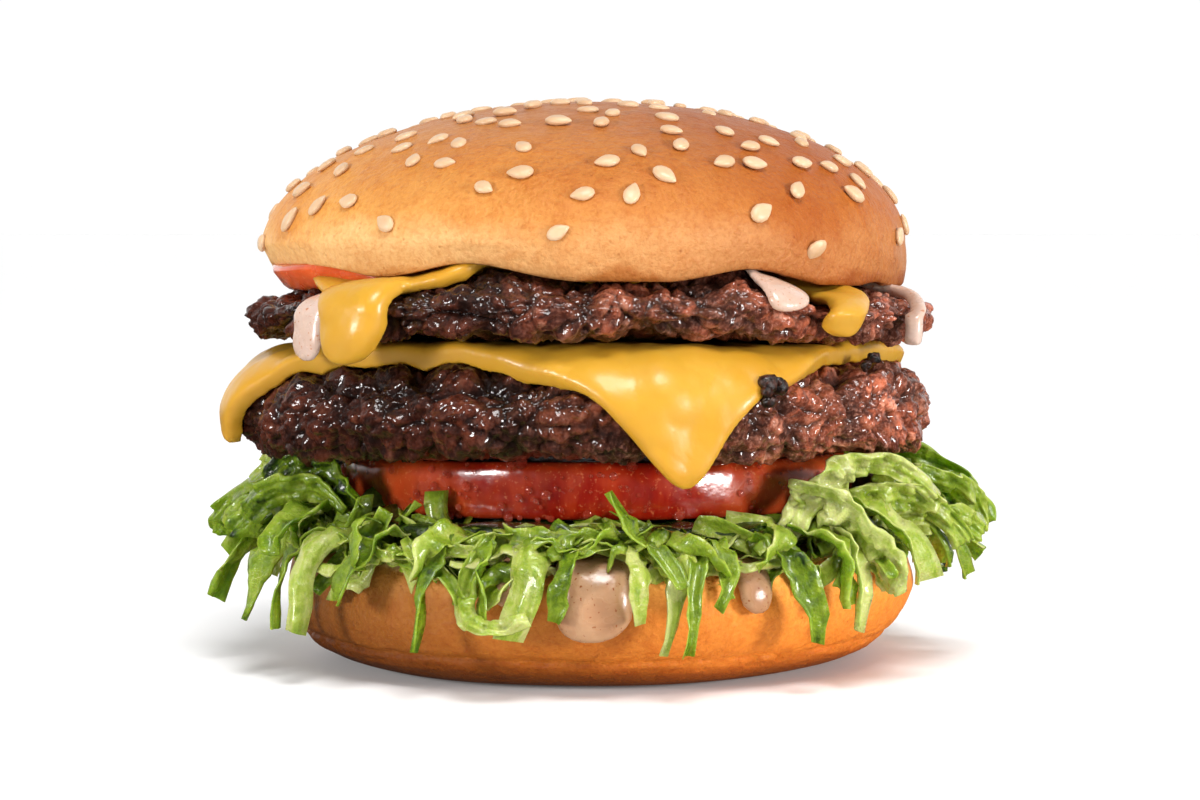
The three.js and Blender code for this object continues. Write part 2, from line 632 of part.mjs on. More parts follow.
// All the shreds: those at the front, then the rest in order from the right end round the back.
function shreds() {
  const draw = draws(29);
  const front = FRONT_SHREDS.map(([azimuth, height, rise, drop, lean, width, twist]) => {
    const from = 42.5 + 2 * draw();
    const atEnd = 5 * Math.cos(degToRad(azimuth)) ** 4; // those at the two ends reach further out
    return { azimuth, from, height, reach: 55 + 1.5 * draw() + atEnd - from, rise, drop, lean, width, twist };
  });
  const others = Array.from({ length: OTHER_SHREDS }, (_, i) => {
    const azimuth = 4 + (172 * (i + 0.6 * draw())) / OTHER_SHREDS;
    const from = 42.5 + 2 * draw();
    const reach = 54.5 + 4 * draw() - from;
    const [rise, drop] = [1.5 + 3 * draw(), 5 + 11 * draw()];
    const [lean, width, twist] = [8 * (draw() - 0.5), 3.4 + 3.2 * draw(), 70 * (draw() - 0.5)];
    return { azimuth, from, height: 21.8 + 2 * draw(), reach, rise, drop, lean, width, twist };
  });
  return [...front, ...others];
}

// Broader leaves that arch over the heap: [azimuth, radius, height] at the points of a curve, and the width.
const LEAVES = [
  [[-49, 46, 24], [-45, 48, 38], [-33, 56, 37], [-27, 60, 25], 9],
  [[-36, 50, 17], [-32, 54, 28], [-22, 58, 28], [-14, 61, 22], 7],
  [[-24, 48, 30], [-18, 55, 34], [-10, 60, 31], [-4, 61, 24], 7],
  [[-140, 46, 25], [-147, 50, 38], [-160, 55, 35], [-166, 54, 26], 8],
  [[-160, 46, 30], [-166, 54, 34], [-172, 60, 30], [-176, 61, 22], 7],
  [[160, 44, 28], [158, 50, 35], [150, 55, 31], [146, 56, 22], 9],
  [[176, 44, 28], [174, 52, 34], [168, 58, 30], [164, 59, 21], 8],
  [[30, 44, 27], [27, 50, 35], [20, 55, 31], [16, 57, 22], 9],
  [[12, 44, 28], [9, 52, 34], [2, 58, 30], [-2, 60, 21], 8],
];

function leafSolid(row) {
  const width = row.at(-1);
  const [a, b, c, d] = row.slice(0, -1).map(([azimuth, r, z]) => {
    return new THREE.Vector3(r * Math.cos(degToRad(azimuth)), r * Math.sin(degToRad(azimuth)), z);
  });
  const inside = a.clone().add(d).sub(b).sub(c).normalize();
  return stripSolid(new THREE.CubicBezierCurve3(a, b, c, d), inside, width, 0, LEAF_STEPS);
}

// ---------------------------------------------------------------- materials

const material = (color, roughness) => new THREE.MeshStandardMaterial({ color, roughness, metalness: 0 });
const crust = material(0xd9934a, 0.45);
const beef = material(0x4a2b1f, 0.4);
const cheese = material(0xf2bf3a, 0.3);
const tomatoSkin = material(0xc2301a, 0.2);
const leaf = material(0x8fbf3a, 0.4);
const pinkSauce = material(0xe2b49a, 0.35);

// ---------------------------------------------------------------- assembly

const grownPatty = (patty) => pattySolid(patty, () => -CUT_GAP);

// A sheet with its tongues joined on, or the same a little larger, to make room for it.
function spreadSolid(sheet, grow = 0) {
  return sheet.tongues.reduce((spread, tongue) => {
    const { width, from, to } = tongue;
    const grown = { ...tongue, width: width + 2 * grow, from: from - grow, to: to + grow, grow };
    return spread.add(tongueSolid(sheet.carrier, grown));
  }, sheetSolid(sheet, grow));
}
const grownSpread = (sheet) => spreadSolid(sheet, CUT_GAP);

// A solid cut back to clear its neighbours, without the scraps that the cut leaves.
function cutBack(solid, ...neighbours) {
  return whole(neighbours.reduce((rest, other) => rest.subtract(other), solid));
}

const sauceBelow = cutBack(spreadSolid(lowerSauce), heelSolid(CUT_GAP));
const cheeseBelow = cutBack(spreadSolid(lowerCheese), grownPatty(lowerPatty), grownPatty(upperPatty));
const sauceAbove = cutBack(spreadSolid(upperSauce), grownPatty(upperPatty));
const cheeseAbove = cutBack(spreadSolid(upperCheese), grownPatty(upperPatty), grownSpread(upperSauce));
const underTomato = [grownPatty(upperPatty), grownSpread(upperSauce), grownSpread(upperCheese)];
const thinTomato = cutBack(spreadSolid(topTomato), ...underTomato);
const pile = [...shreds().map(shredSolid), ...LEAVES.map(leafSolid)]
  .reduce((heap, strip) => heap.add(strip), lettuceBed());
const lettuce = cutBack(pile, grownSpread(lowerSauce), grownPatty(lowerPatty), grownSpread(lowerCheese));
const seededDome = seedPlaces(SEEDS.count)
  .map(seedSolid)
  .reduce((bun, seed) => bun.add(seed), crownSolid());
const crown = cutBack(seededDome, ...underTomato, grownSpread(topTomato));

const burger = new THREE.Group();
burger.name = "double_cheeseburger";
burger.add(
  meshOf("bun_bottom", heelSolid(), crust),
  meshOf("sauce_lower", sauceBelow, pinkSauce),
  meshOf("lettuce", lettuce, leaf),
  meshOf("tomato", tomatoSolid(), tomatoSkin),
  meshOf("patty_lower", pattySolid(lowerPatty), beef),
  meshOf("cheese_lower", cheeseBelow, cheese),
  meshOf("patty_upper", pattySolid(upperPatty), beef),
  meshOf("cheese_upper", cheeseAbove, cheese),
  meshOf("sauce_upper", sauceAbove, pinkSauce),
  meshOf("tomato_upper", thinTomato, tomatoSkin),
  meshOf("bun_top", crown, crust),
);

export default burger;
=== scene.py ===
"""The looks of a double cheeseburger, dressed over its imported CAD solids.

Lengths are millimetres until a mesh is made, and azimuths run from +X towards +Y, as in the part's source.
Each layer is built level and round, draped on the layer below it, and then settled with the whole stack.
"""

import math

import bpy
import numpy as np
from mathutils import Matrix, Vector


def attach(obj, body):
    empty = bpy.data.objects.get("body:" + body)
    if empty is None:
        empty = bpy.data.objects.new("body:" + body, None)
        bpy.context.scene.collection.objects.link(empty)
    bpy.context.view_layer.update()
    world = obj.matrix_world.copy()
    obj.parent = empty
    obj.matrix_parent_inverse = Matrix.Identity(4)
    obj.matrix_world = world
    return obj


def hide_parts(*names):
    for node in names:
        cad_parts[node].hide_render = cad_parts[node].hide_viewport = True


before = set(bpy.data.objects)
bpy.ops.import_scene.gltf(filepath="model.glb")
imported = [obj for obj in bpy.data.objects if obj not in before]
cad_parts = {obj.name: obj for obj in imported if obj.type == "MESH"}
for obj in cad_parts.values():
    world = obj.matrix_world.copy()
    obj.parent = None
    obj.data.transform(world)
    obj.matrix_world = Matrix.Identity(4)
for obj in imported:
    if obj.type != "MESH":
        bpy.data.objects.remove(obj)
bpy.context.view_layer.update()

MM = 0.001
MASK = 0xFFFFFFFF  # the lowest 32 bits
QUARTER = math.pi / 2

# ---------------------------------------------------------------- driving dimensions, as in the part's source

GAP = 0.45  # between one layer and the next
HEEL = dict(foot_r=33, waist_r=50.3, waist_z=12.2, top_z=19.2, round=4.5)
CROWN = dict(rim_r=49.2, rim_z=60.6, waist_r=51.3, waist_z=66.4, top_z=88.2)
SAUCE = 0.9  # how thick a layer of sauce is, and a slice of cheese
CHEESE = 2.4
TOMATO = dict(r=40.3, thick=8.6, bulge=1.4)
TOP_TOMATO = dict(r=33, thick=2.8, x=-13, y=-5.2)
PATTY_R = 54
LOWER_THICK, LOWER_ROUND = 14.2, 8
UPPER_THICK, UPPER_ROUND = 9.2, 14
LETTUCE_THICK, LETTUCE_HEAP = 3.8, 7

lettuce_z = HEEL["top_z"] + SAUCE + 2 * GAP
tomato_z = lettuce_z + LETTUCE_THICK + GAP
lower_patty_z = tomato_z + TOMATO["thick"] + GAP
upper_patty_z = lower_patty_z + LOWER_THICK + CHEESE + 2 * GAP
hollow_z = upper_patty_z + UPPER_THICK + SAUCE + CHEESE + TOP_TOMATO["thick"] + 4 * GAP

# ---------------------------------------------------------------- small maths


def lerp(a, b, t):
    return a + (b - a) * t


def smoothstep(x, a, b):
    t = np.clip((x - a) / (b - a), 0, 1)
    return t * t * (3 - 2 * t)


def bump_at(theta, degrees, width):
    """A smooth bump of 1 at an azimuth, in degrees, that dies away over a few widths."""
    away = theta - math.radians(degrees)
    away = np.arctan2(np.sin(away), np.cos(away))
    return np.exp(-((away / math.radians(width)) ** 2))


def normalised(v):
    return v / np.linalg.norm(v, axis=-1, keepdims=True)


def around(columns):
    """The angles of the columns of a ring."""
    return 2 * np.pi * np.arange(columns) / columns


def polar(r, theta, z):
    """Points at a radius, azimuth and height."""
    r, theta, z = np.broadcast_arrays(r, theta, z)
    return np.stack([r * np.cos(theta), r * np.sin(theta), z], -1)


def ball(rings, columns):
    """Points of a unit ball, in rings from its bottom to its top without the poles."""
    up = np.linspace(-1, 1, rings + 2)[1:-1, None]
    return polar(np.sqrt(1 - up**2), around(columns)[None, :], up)


def directions(theta):
    """The outward direction at an azimuth, and the one along a ring."""
    cos, sin = math.cos(theta), math.sin(theta)
    return np.array([cos, sin, 0]), np.array([-sin, cos, 0])


# ---------------------------------------------------------------- repeatable chance


def draws(seed):
    """A function that gives numbers from 0 to 1, the same run of them for the same seed."""
    state = seed

    def draw():
        nonlocal state
        state = (state + 0x6D2B79F5) & MASK
        t = (state ^ state >> 15) * (state | 1) & MASK
        t ^= t + ((t ^ t >> 7) * (t | 61) & MASK) & MASK
        return (t ^ t >> 14) / (MASK + 1)

    return draw


def cell_draw(i, j, k, n):
    """A number from 0 to 1 for each cell of a cubic lattice. i, j and k are uint32 arrays."""
    h = i * np.uint32(0x27D4EB2D) ^ j * np.uint32(0x165667B1) ^ k * np.uint32(0x1B873593)
    h ^= np.uint32(n * 0x2545F491 & MASK)
    h = (h ^ h >> 15) * np.uint32(0x85EBCA6B)
    h = (h ^ h >> 13) * np.uint32(0xC2B2AE35)
    return (h ^ h >> 16) / (MASK + 1)


def lattice(cell):
    """The three whole numbers of a cell, as cell_draw takes them."""
    return (cell[..., axis].astype(np.int64).astype(np.uint32) for axis in range(3))


def nearest(p, size):
    """For each of p, the nearest of points scattered one to a cell: its squared distance, in cells, a number
    from 0 to 1 that belongs to it, and how much further off the next one is, in cells."""
    q = p / size
    base = np.floor(q)
    best = second = np.full(q.shape[:-1], 9.0)
    tint = np.zeros(q.shape[:-1])
    for step in np.ndindex(3, 3, 3):
        cell = base + np.array(step) - 1
        i, j, k = lattice(cell)
        away = sum((cell[..., axis] + cell_draw(i, j, k, axis + 1) - q[..., axis]) ** 2 for axis in range(3))
        closer = away < best
        second = np.where(closer, best, np.minimum(second, away))
        best = np.where(closer, away, best)
        tint = np.where(closer, cell_draw(i, j, k, 4), tint)
    return best, tint, np.sqrt(second) - np.sqrt(best)


def noise(p, size, n=7):
    """Smooth noise from -1 to 1 over features of a size."""
    q = p / size
    base = np.floor(q)
    f = q - base
    f = f * f * (3 - 2 * f)
    total = 0
    for step in np.ndindex(2, 2, 2):
        i, j, k = lattice(base + np.array(step))
        weight = np.prod(np.where(np.array(step) == 1, f, 1 - f), axis=-1)
        total = total + weight * cell_draw(i, j, k, n)
    return 2 * total - 1


def noise3(p, size):
    """Three smooth noises as a vector."""
    return np.stack([noise(p, size, 11 + axis) for axis in range(3)], -1)


# ---------------------------------------------------------------- settling of the stack

LEAN_Z = [0, 12, 20, 29, 41, 56, 66, 90]
LEAN_X = [0, 1.8, 1.8, 1.0, -0.5, 0.2, -1.1, 0.8]  # how far each of those heights has shifted towards +X
SAG = 1.8  # how far the rim of a patty droops at the left and right
LEFT_SAG = 0.45  # how much more of it the low layers do at the left
CROWN_SAG = 0.45  # and how much of it the top of the crown does


def settle(p):
    """Where points end up once the layers have drooped at the left and right and shifted sideways."""
    x, y, z = p[..., 0], p[..., 1], p[..., 2]
    share = smoothstep(z, 20, 36) * lerp(1, CROWN_SAG, smoothstep(z, 60, 76))
    uneven = LEFT_SAG * (1 - smoothstep(z, 42, 54))
    across = x / PATTY_R
    z = z - SAG * (1 - uneven * across) * across * across * share
    return np.stack([x + np.interp(z, LEAN_Z, LEAN_X), y, z], -1)


# ---------------------------------------------------------------- meshes


def ring_faces(rings, columns):
    """The faces of a closed form made of rings, from its bottom to its top, with a pole at each end."""
    ring, column = np.meshgrid(np.arange(rings - 1), np.arange(columns), indexing="ij")
    a, b = ring * columns + column, ring * columns + (column + 1) % columns
    quads = np.stack([a, b, b + columns, a + columns], -1).reshape(-1, 4)
    j, k = np.arange(columns), (np.arange(columns) + 1) % columns
    pole, last = np.full(columns, rings * columns), (rings - 1) * columns
    return [quads, np.stack([pole, k, j], -1), np.stack([last + j, last + k, pole + 1], -1)]


def closed_rings(points):
    """(vertices, faces) of a closed form from points[ring, column], with a pole in each end ring's middle."""
    rings, columns = points.shape[:2]
    poles = [points[0].mean(0), points[-1].mean(0)]
    return np.vstack([points.reshape(-1, 3), poles]), ring_faces(rings, columns)


def joined(forms):
    """Several (vertices, faces) forms as one."""
    points, faces, start = [], [], 0
    for form_points, form_faces in forms:
        points.append(form_points)
        faces.extend(part + start for part in form_faces)
        start += len(form_points)
    return np.vstack(points), faces


def mesh_of(name, points, faces):
    """A smooth mesh. faces is a list of arrays, of triangles or of quads."""
    mesh = bpy.data.meshes.new(name)
    sizes = np.concatenate([np.full(len(part), part.shape[1]) for part in faces])
    starts = np.concatenate([[0], np.cumsum(sizes)[:-1]])
    corners = np.concatenate([part.ravel() for part in faces])
    mesh.vertices.add(len(points))
    mesh.vertices.foreach_set("co", np.ascontiguousarray(points, dtype=np.float32).ravel())
    mesh.loops.add(int(sizes.sum()))
    mesh.loops.foreach_set("vertex_index", corners.astype(np.int32))
    mesh.polygons.add(len(sizes))
    mesh.polygons.foreach_set("loop_start", starts.astype(np.int32))
    mesh.update(calc_edges=True)
    mesh.validate()
    mesh.shade_smooth()
    return mesh


def piece(name, form, material, slot, node=None, **looks):
    """A piece of the burger from (vertices, faces) in millimetres. It replaces a CAD node where one is named.
    looks are numbers for each vertex, which its shader reads."""
    mesh = mesh_of(name, form[0] * MM, form[1])
    for key, values in looks.items():
        attribute = mesh.attributes.new(key, "FLOAT", "POINT")
        attribute.data.foreach_set("value", values.astype(np.float32).ravel())
    mesh.materials.append(material)
    obj = bpy.data.objects.new(name, mesh)
    bpy.context.scene.collection.objects.link(obj)
    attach(obj, "root")
    if node:
        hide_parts(node)


def melted(forms, voxel, smoothing, keep):
    """Overlapping closed forms run together into one smooth skin. A share of its faces is kept."""
    obj = bpy.data.objects.new("melt", mesh_of("melt", *joined(forms)))
    bpy.context.scene.collection.objects.link(obj)
    remesh = obj.modifiers.new("voxels", "REMESH")
    remesh.mode, remesh.voxel_size = "VOXEL", voxel
    smooth = obj.modifiers.new("smooth", "SMOOTH")
    smooth.factor, smooth.iterations = 0.5, smoothing
    obj.modifiers.new("fewer", "DECIMATE").ratio = keep
    mesh = obj.evaluated_get(bpy.context.evaluated_depsgraph_get()).to_mesh()
    points = np.empty(len(mesh.vertices) * 3, dtype=np.float32)
    mesh.vertices.foreach_get("co", points)
    mesh.calc_loop_triangles()
    triangles = np.empty(len(mesh.loop_triangles) * 3, dtype=np.int32)
    mesh.loop_triangles.foreach_get("vertices", triangles)
    obj.to_mesh_clear()
    bpy.data.objects.remove(obj)
    return points.reshape(-1, 3).astype(float), [triangles.reshape(-1, 3)]


# ---------------------------------------------------------------- the smooth skin of a round layer


class Carrier:
    """A round layer that others lie on: a level top, an edge rounded as a quarter ellipse, a straight side.

    radius(theta) is its radius, rise(theta, s) how humped its top is, and tuck how fast its side turns in.
    """

    def __init__(self, mid_z, half, round_, radius, rise, tuck=0.0):
        self.mid_z, self.half, self.round = mid_z, half, round_
        self.radius, self.rise, self.tuck = radius, rise, tuck
        self.bend = QUARTER * math.sqrt((round_**2 + half**2) / 2)

    def level(self, theta):
        """How far out the level top goes."""
        return self.radius(theta) - self.round

    def point(self, theta, s, lift):
        """(radius, height) at a distance s along the skin from the axis, held off it by lift."""
        level = self.level(theta)
        rise = self.rise(theta, np.minimum(s, level))
        turn = np.clip((s - level) / self.bend, 0, 1) * QUARTER
        down = np.maximum(0, s - level - self.bend)
        over = level + (self.round + lift) * np.sin(turn) - self.tuck * down * down
        high = self.half + rise + lift
        return np.where(s <= level, s, over), self.mid_z + high * np.cos(turn) - down


# The waves of a patty's outline: (lobes, height, phase). The humps of its top: (azimuth, height, width).
LOWER_WAVES = [(2, 0.5, 0.4), (3, 0.8, 2.1), (5, 0.7, 0.9), (8, 0.5, 4.0), (13, 0.35, 1.3)]
LOWER_HUMPS = [(-122, 0.6, 14), (-20, 1.0, 12)]
UPPER_WAVES = [(2, 0.4, 3.4), (3, 0.7, 0.2), (5, 0.8, 2.9), (7, 0.6, 1.1), (12, 0.4, 5.2)]
UPPER_HUMPS = [(-107, 2.6, 7), (-64, 2.8, 8), (-165, -0.2, 20), (-132, -2.0, 9), (-48, -2.6, 8)]


def patty_carrier(bottom_z, thick, round_, waves, humps):
    def radius(theta):
        return PATTY_R + 0.6 + sum(high * np.cos(lobes * theta + phase) for lobes, high, phase in waves)

    def rise(theta, s):
        near_rim = smoothstep(s, 0.6 * PATTY_R, PATTY_R - round_)
        return near_rim * sum(high * bump_at(theta, at, width) for at, high, width in humps)

    return Carrier(bottom_z + thick / 2, thick / 2, round_, radius, rise)


def underside(patty, round_, rim, hang):
    """The carrier for a patty's other side, upside down: more tightly rounded, its rim hanging a little."""

    def rise(theta, s):
        return hang * smoothstep(s, *rim) + 0 * theta

    return Carrier(patty.mid_z, patty.half, round_, patty.radius, rise)


lower_patty = patty_carrier(lower_patty_z, LOWER_THICK, LOWER_ROUND, LOWER_WAVES, LOWER_HUMPS)
upper_patty = patty_carrier(upper_patty_z, UPPER_THICK, UPPER_ROUND, UPPER_WAVES, UPPER_HUMPS)
lower_under = underside(lower_patty, 6, (41.5, 46), 0.4)
upper_under = underside(upper_patty, 5, (47.5, 51), 0.3)
heel_carrier = Carrier(
    HEEL["waist_z"], HEEL["top_z"] - HEEL["waist_z"], HEEL["round"],
    lambda theta: HEEL["waist_r"] + 0 * theta, lambda theta, s: 0 * theta + 0 * s, tuck=0.06,
)

# ---------------------------------------------------------------- shader helpers


class Nodes:
    """A node tree. It takes colours as (red, green, blue), and links an input whose value is a socket."""

    def __init__(self, tree):
        self.tree = tree

    def give(self, socket, value):
        """Links a socket to value, or sets it to value."""
        if isinstance(value, bpy.types.NodeSocket):
            self.tree.links.new(value, socket)
        elif isinstance(value, tuple) and socket.type == "RGBA":
            socket.default_value = (*value, 1)
        else:
            socket.default_value = value

    def add(self, kind, inputs=(), **props):
        """A new node with some of its inputs, by their names or places, and properties given."""
        node = self.tree.nodes.new("ShaderNode" + kind)
        for key, value in props.items():
            setattr(node, key, value)
        for key, value in dict(inputs).items():
            self.give(node.inputs[key], value)
        return node

    def span(self, value, low, high, to_low=0, to_high=1):
        """value's range from low to high, as to_low to to_high."""
        inputs = {"Value": value, "From Min": low, "From Max": high, "To Min": to_low, "To Max": to_high}
        return self.add("MapRange", inputs).outputs["Result"]

    def maths(self, operation, a, b):
        return self.add("Math", {0: a, 1: b}, operation=operation).outputs["Value"]


class Shader(Nodes):
    """A Principled material, whose sockets are set by name."""

    def __init__(self, name, **sockets):
        self.material = bpy.data.materials.new(name)
        self.material.use_nodes = True
        super().__init__(self.material.node_tree)
        self.principled = self.tree.nodes["Principled BSDF"]
        for key, value in sockets.items():
            self.set(key.replace("_", " ").title().replace("Ior", "IOR"), value)

    def set(self, socket, value):
        self.give(self.principled.inputs[socket], value)

    def place(self, scale=(1, 1, 1)):
        """Positions on the object in metres, stretched by scale."""
        coords = self.add("TexCoord").outputs["Object"]
        return self.add("Mapping", {"Vector": coords, "Scale": scale}).outputs["Vector"]

    def attribute(self, name):
        return self.add("Attribute", attribute_name=name).outputs["Fac"]

    def noise(self, size, detail=3, roughness=0.55, vector=None):
        """Noise with features of a size in millimetres."""
        where = {"Vector": vector or self.place(), "Scale": 1 / (size * MM)}
        return self.add("TexNoise", {**where, "Detail": detail, "Roughness": roughness}).outputs["Fac"]

    def cells(self, size):
        """The distance to the nearest of points scattered one to a cell of a size in millimetres."""
        return self.add("TexVoronoi", {"Vector": self.place(), "Scale": 1 / (size * MM)}).outputs["Distance"]

    def rough(self, size, low, high, detail=2):
        """Roughness from low to high, in patches of a size in millimetres."""
        self.set("Roughness", self.span(self.noise(size, detail), 0.3, 0.7, low, high))

    def ramp(self, value, *stops):
        """A colour ramp with stops of (position, colour)."""
        node = self.add("ValToRGB", {"Fac": value})
        elements = node.color_ramp.elements
        while len(elements) < len(stops):
            elements.new(0.5)
        for element, (position, colour) in zip(elements, stops):
            element.position, element.color = position, (*colour, 1)
        return node.outputs["Color"]

    def mix(self, factor, a, b, blend="MIX"):
        """b over a by a factor from 0 to 1."""
        return self.add("Mix", data_type="RGBA", blend_type=blend, inputs={0: factor, 6: a, 7: b}).outputs[2]

    def bumps(self, *layers, socket="Normal"):
        """Relief from layers of (height from 0 to 1, depth in millimetres)."""
        normal = None
        for height, depth in layers:
            inputs = {"Height": height, "Distance": depth * MM, "Strength": 1}
            if normal:
                inputs["Normal"] = normal
            normal = self.add("Bump", inputs).outputs["Normal"]
        self.set(socket, normal)


# ---------------------------------------------------------------- patties

LUMPS = [(8.0, 2.2), (4.3, 1.0)]  # the size of each layer of lumps, and how deep they run
FINE_LUMPS = [(2.5, 0.70), (1.2, 0.40)]
CRACKED = [(5.6, 0)]  # and of the lumps that the cracks run between
PROUD = 0.8  # how far the tops of the lumps stand above the smooth skin
CRACK = 0.7  # how deep the cracks between the lumps run
PATTY_COLUMNS = 900
PATTY_PITCH = 0.38  # between the rings over the bend


def lumps(p, sizes):
    """How deep each layer of lumps lies under the smooth skin, as a share of its full depth, with the tint of
    each point's lump and how far it is from the nearest crack, in cells."""
    squared, tints, edges = zip(*(nearest(p, size) for size, _ in sizes))
    return [np.minimum(1, 1.4 * far) for far in squared], tints, edges


def patty_rings(face):
    """Run values from the axis out: 0 to 1 over the level top, 1 to 2 over the bend."""
    inner = [0.2, 0.45, 0.65, 0.78, *np.linspace(0.86, 0.99, 8)]
    return np.array([*inner, *np.linspace(1, 2, round(face.bend / PATTY_PITCH) + 1)])


def beef_relief(p):
    """How deep the beef lies under its smooth skin at each of p, how creased it is there, for painted shade,
    and its tint.
    """
    big, _, _ = lumps(p, LUMPS)
    fine, tints, _ = lumps(p + 2.4 * noise3(p, 4.5) + 1.3 * noise3(p, 1.7), FINE_LUMPS)
    _, _, edges = lumps(p + 2.2 * noise3(p, 7), CRACKED)
    crack = np.exp(-((edges[0] / 0.10) ** 2))
    rough = 0.45 * noise(p, 3.1) + 0.45 * np.abs(noise(p, 1.5)) + 0.16 * noise(p, 0.8)
    depth = sum(share * deep for share, (_, deep) in zip(big + fine, LUMPS + FINE_LUMPS))
    crease = 0.26 * big[0] + 0.24 * big[1] + 0.24 * fine[0] + 0.12 * fine[1] + 0.35 * crack
    return depth - PROUD + CRACK * crack + rough, crease, 0.6 * tints[0] + 0.4 * tints[1]


def patty_form(patty, under):
    """A patty from its two sides, under and patty, with the crease, for painted shade, and the tint of each
    of its vertices.
    """
    theta = around(PATTY_COLUMNS)[None, :]
    sides = []
    for face, side in ((under, -1), (patty, 1)):
        run = patty_rings(face)[:, None]
        level = face.level(theta)
        s = np.where(run <= 1, run * level, level + (run - 1) * face.bend)
        r, z = face.point(theta, s, 0)
        p = polar(r, theta, z if side > 0 else 2 * patty.mid_z - z)
        turn = np.maximum(0, run - 1) * QUARTER + 0 * theta
        inward = polar(-np.sin(turn), theta, -side * np.cos(turn))
        depth, crease, tint = beef_relief(p)
        exposed = lerp(0.3, 1, smoothstep(run, 0.84, 0.97))
        layer = (p + inward * (exposed * depth)[..., None], crease, tint)
        sides.append(layer if side < 0 else [part[::-1][1:] for part in layer])
    points, crease, tint = (np.concatenate(pair) for pair in zip(*sides))
    poles = [0.5, 0.5]
    return closed_rings(settle(points)), np.append(crease, poles), np.append(tint, poles)


def beef_shader():
    m = Shader("beef", specular_ior_level=0.12, coat_weight=0.75, coat_roughness=0.09)
    crease, tint = m.attribute("crease"), m.attribute("tint")
    position = m.add("SeparateXYZ", {0: m.place()})
    patches, grain = m.noise(9, 3), m.noise(0.6, 4, 0.7)
    dark = m.ramp(patches, (0.36, (0.007, 0.0018, 0.0010)), (0.62, (0.021, 0.0050, 0.0024)))
    lump = m.ramp(
        tint, (0.15, (0.018, 0.0028, 0.0012)), (0.45, (0.054, 0.0090, 0.0034)),
        (0.7, (0.11, 0.021, 0.008)), (0.95, (0.18, 0.058, 0.032)),
    )
    colour = m.mix(m.span(patches, 0.38, 0.56, 0.2, 1), dark, lump)
    colour = m.mix(m.span(grain, 0.50, 0.72, 0, 0.6), colour, (0.14, 0.050, 0.030))
    colour = m.mix(m.span(grain, 0.50, 0.32, 0, 0.6), colour, (0.014, 0.004, 0.002))
    # Painted shade: the beef is darkest down in the creases and cracks between its lumps.
    colour = m.mix(m.span(crease, 0.32, 0.80, 0, 0.92), colour, (0.008, 0.002, 0.001))
    # Painted light: towards +X the beef is multiplied lighter and browner, for the light on its right side.
    painted_light_right = m.span(position.outputs["X"], -0.015, 0.042)
    m.set("Base Color", m.mix(painted_light_right, colour, (5.2, 6.6, 7.6), "MULTIPLY"))
    m.set("Roughness", m.span(m.noise(2.2, 3), 0.35, 0.65, 0.25, 0.5))
    m.bumps((m.noise(1.0, 4, 0.65), 0.5), (grain, 0.25))
    m.bumps((m.noise(0.6, 2, 0.5), 0.07), socket="Coat Normal")
    return m.material


beef = beef_shader()
patties = {"patty_lower": (lower_patty, lower_under), "patty_upper": (upper_patty, upper_under)}
for node, (patty, under) in patties.items():
    form, crease, tint = patty_form(patty, under)
    piece(node + "_beef", form, beef, "patty", node, crease=crease, tint=tint)


# Where each heap of burnt crumbs lies, as (azimuth, height, radius), and its size.
CRUMBS = [(-61.5, 46.4, 55.4, 2.6), (-63, 44.8, 56.4, 2.0), (-33, 49.4, 51.0, 1.5), (-38, 48.6, 52.5, 1.2)]
CRUMBS_IN_HEAP = 5


def charred_crumbs():
    """Burnt bits that broke off the patties, lying along the edges of the cheese."""
    draw = draws(47)
    forms = []
    for azimuth, z, out, size in CRUMBS:
        theta = math.radians(azimuth)
        for _ in range(CRUMBS_IN_HEAP):
            r = out + size * (draw() - 0.5)
            turned = theta + size * 1.3 * (draw() - 0.5) / PATTY_R
            middle = polar(r, turned, z + size * (draw() - 0.5))
            crumb = ball(7, 12)
            radius = size * lerp(0.35, 0.6, draw())
            crumb = crumb * radius * (1 + 0.35 * noise(crumb + 9 * draw(), 0.8)[..., None])
            forms.append(closed_rings(settle(middle + crumb)))
    return joined(forms)


def char_shader():
    m = Shader("char", specular_ior_level=0.5)
    m.set("Base Color", m.ramp(m.noise(0.8, 3), (0.4, (0.006, 0.003, 0.002)), (0.7, (0.06, 0.014, 0.006))))
    m.set("Roughness", m.span(m.noise(0.6, 2), 0.3, 0.7, 0.25, 0.5))
    m.bumps((m.noise(0.4, 3), 0.15))
    return m.material


piece("charred_crumbs", charred_crumbs(), char_shader(), "patty")


def skin_sink(p):
    """How far the smooth lumps of a patty dip under a sheet that lies on them."""
    shares, _, _ = lumps(p, LUMPS)
    return 0.7 * sum(deep * share for share, (_, deep) in zip(shares, LUMPS))


# ---------------------------------------------------------------- draped sheets: cheese and sauce

RAISED = GAP + 0.4  # how high a sheet's level lies over the smooth skin of its carrier
SOFT = 5  # over how many degrees to either side a sheet comes down beside what it lies over
SAMPLES = 17  # of what lies below, across that stretch
SUNK = 0.6  # how far a sheet's underside reaches below the level it rests on, so that no gap shows
SAGGING = 0.35  # the share of the dips below it that shows on a sheet's top
ROOT = (47, 59)  # where a tongue goes over from its root to its end, along the skin


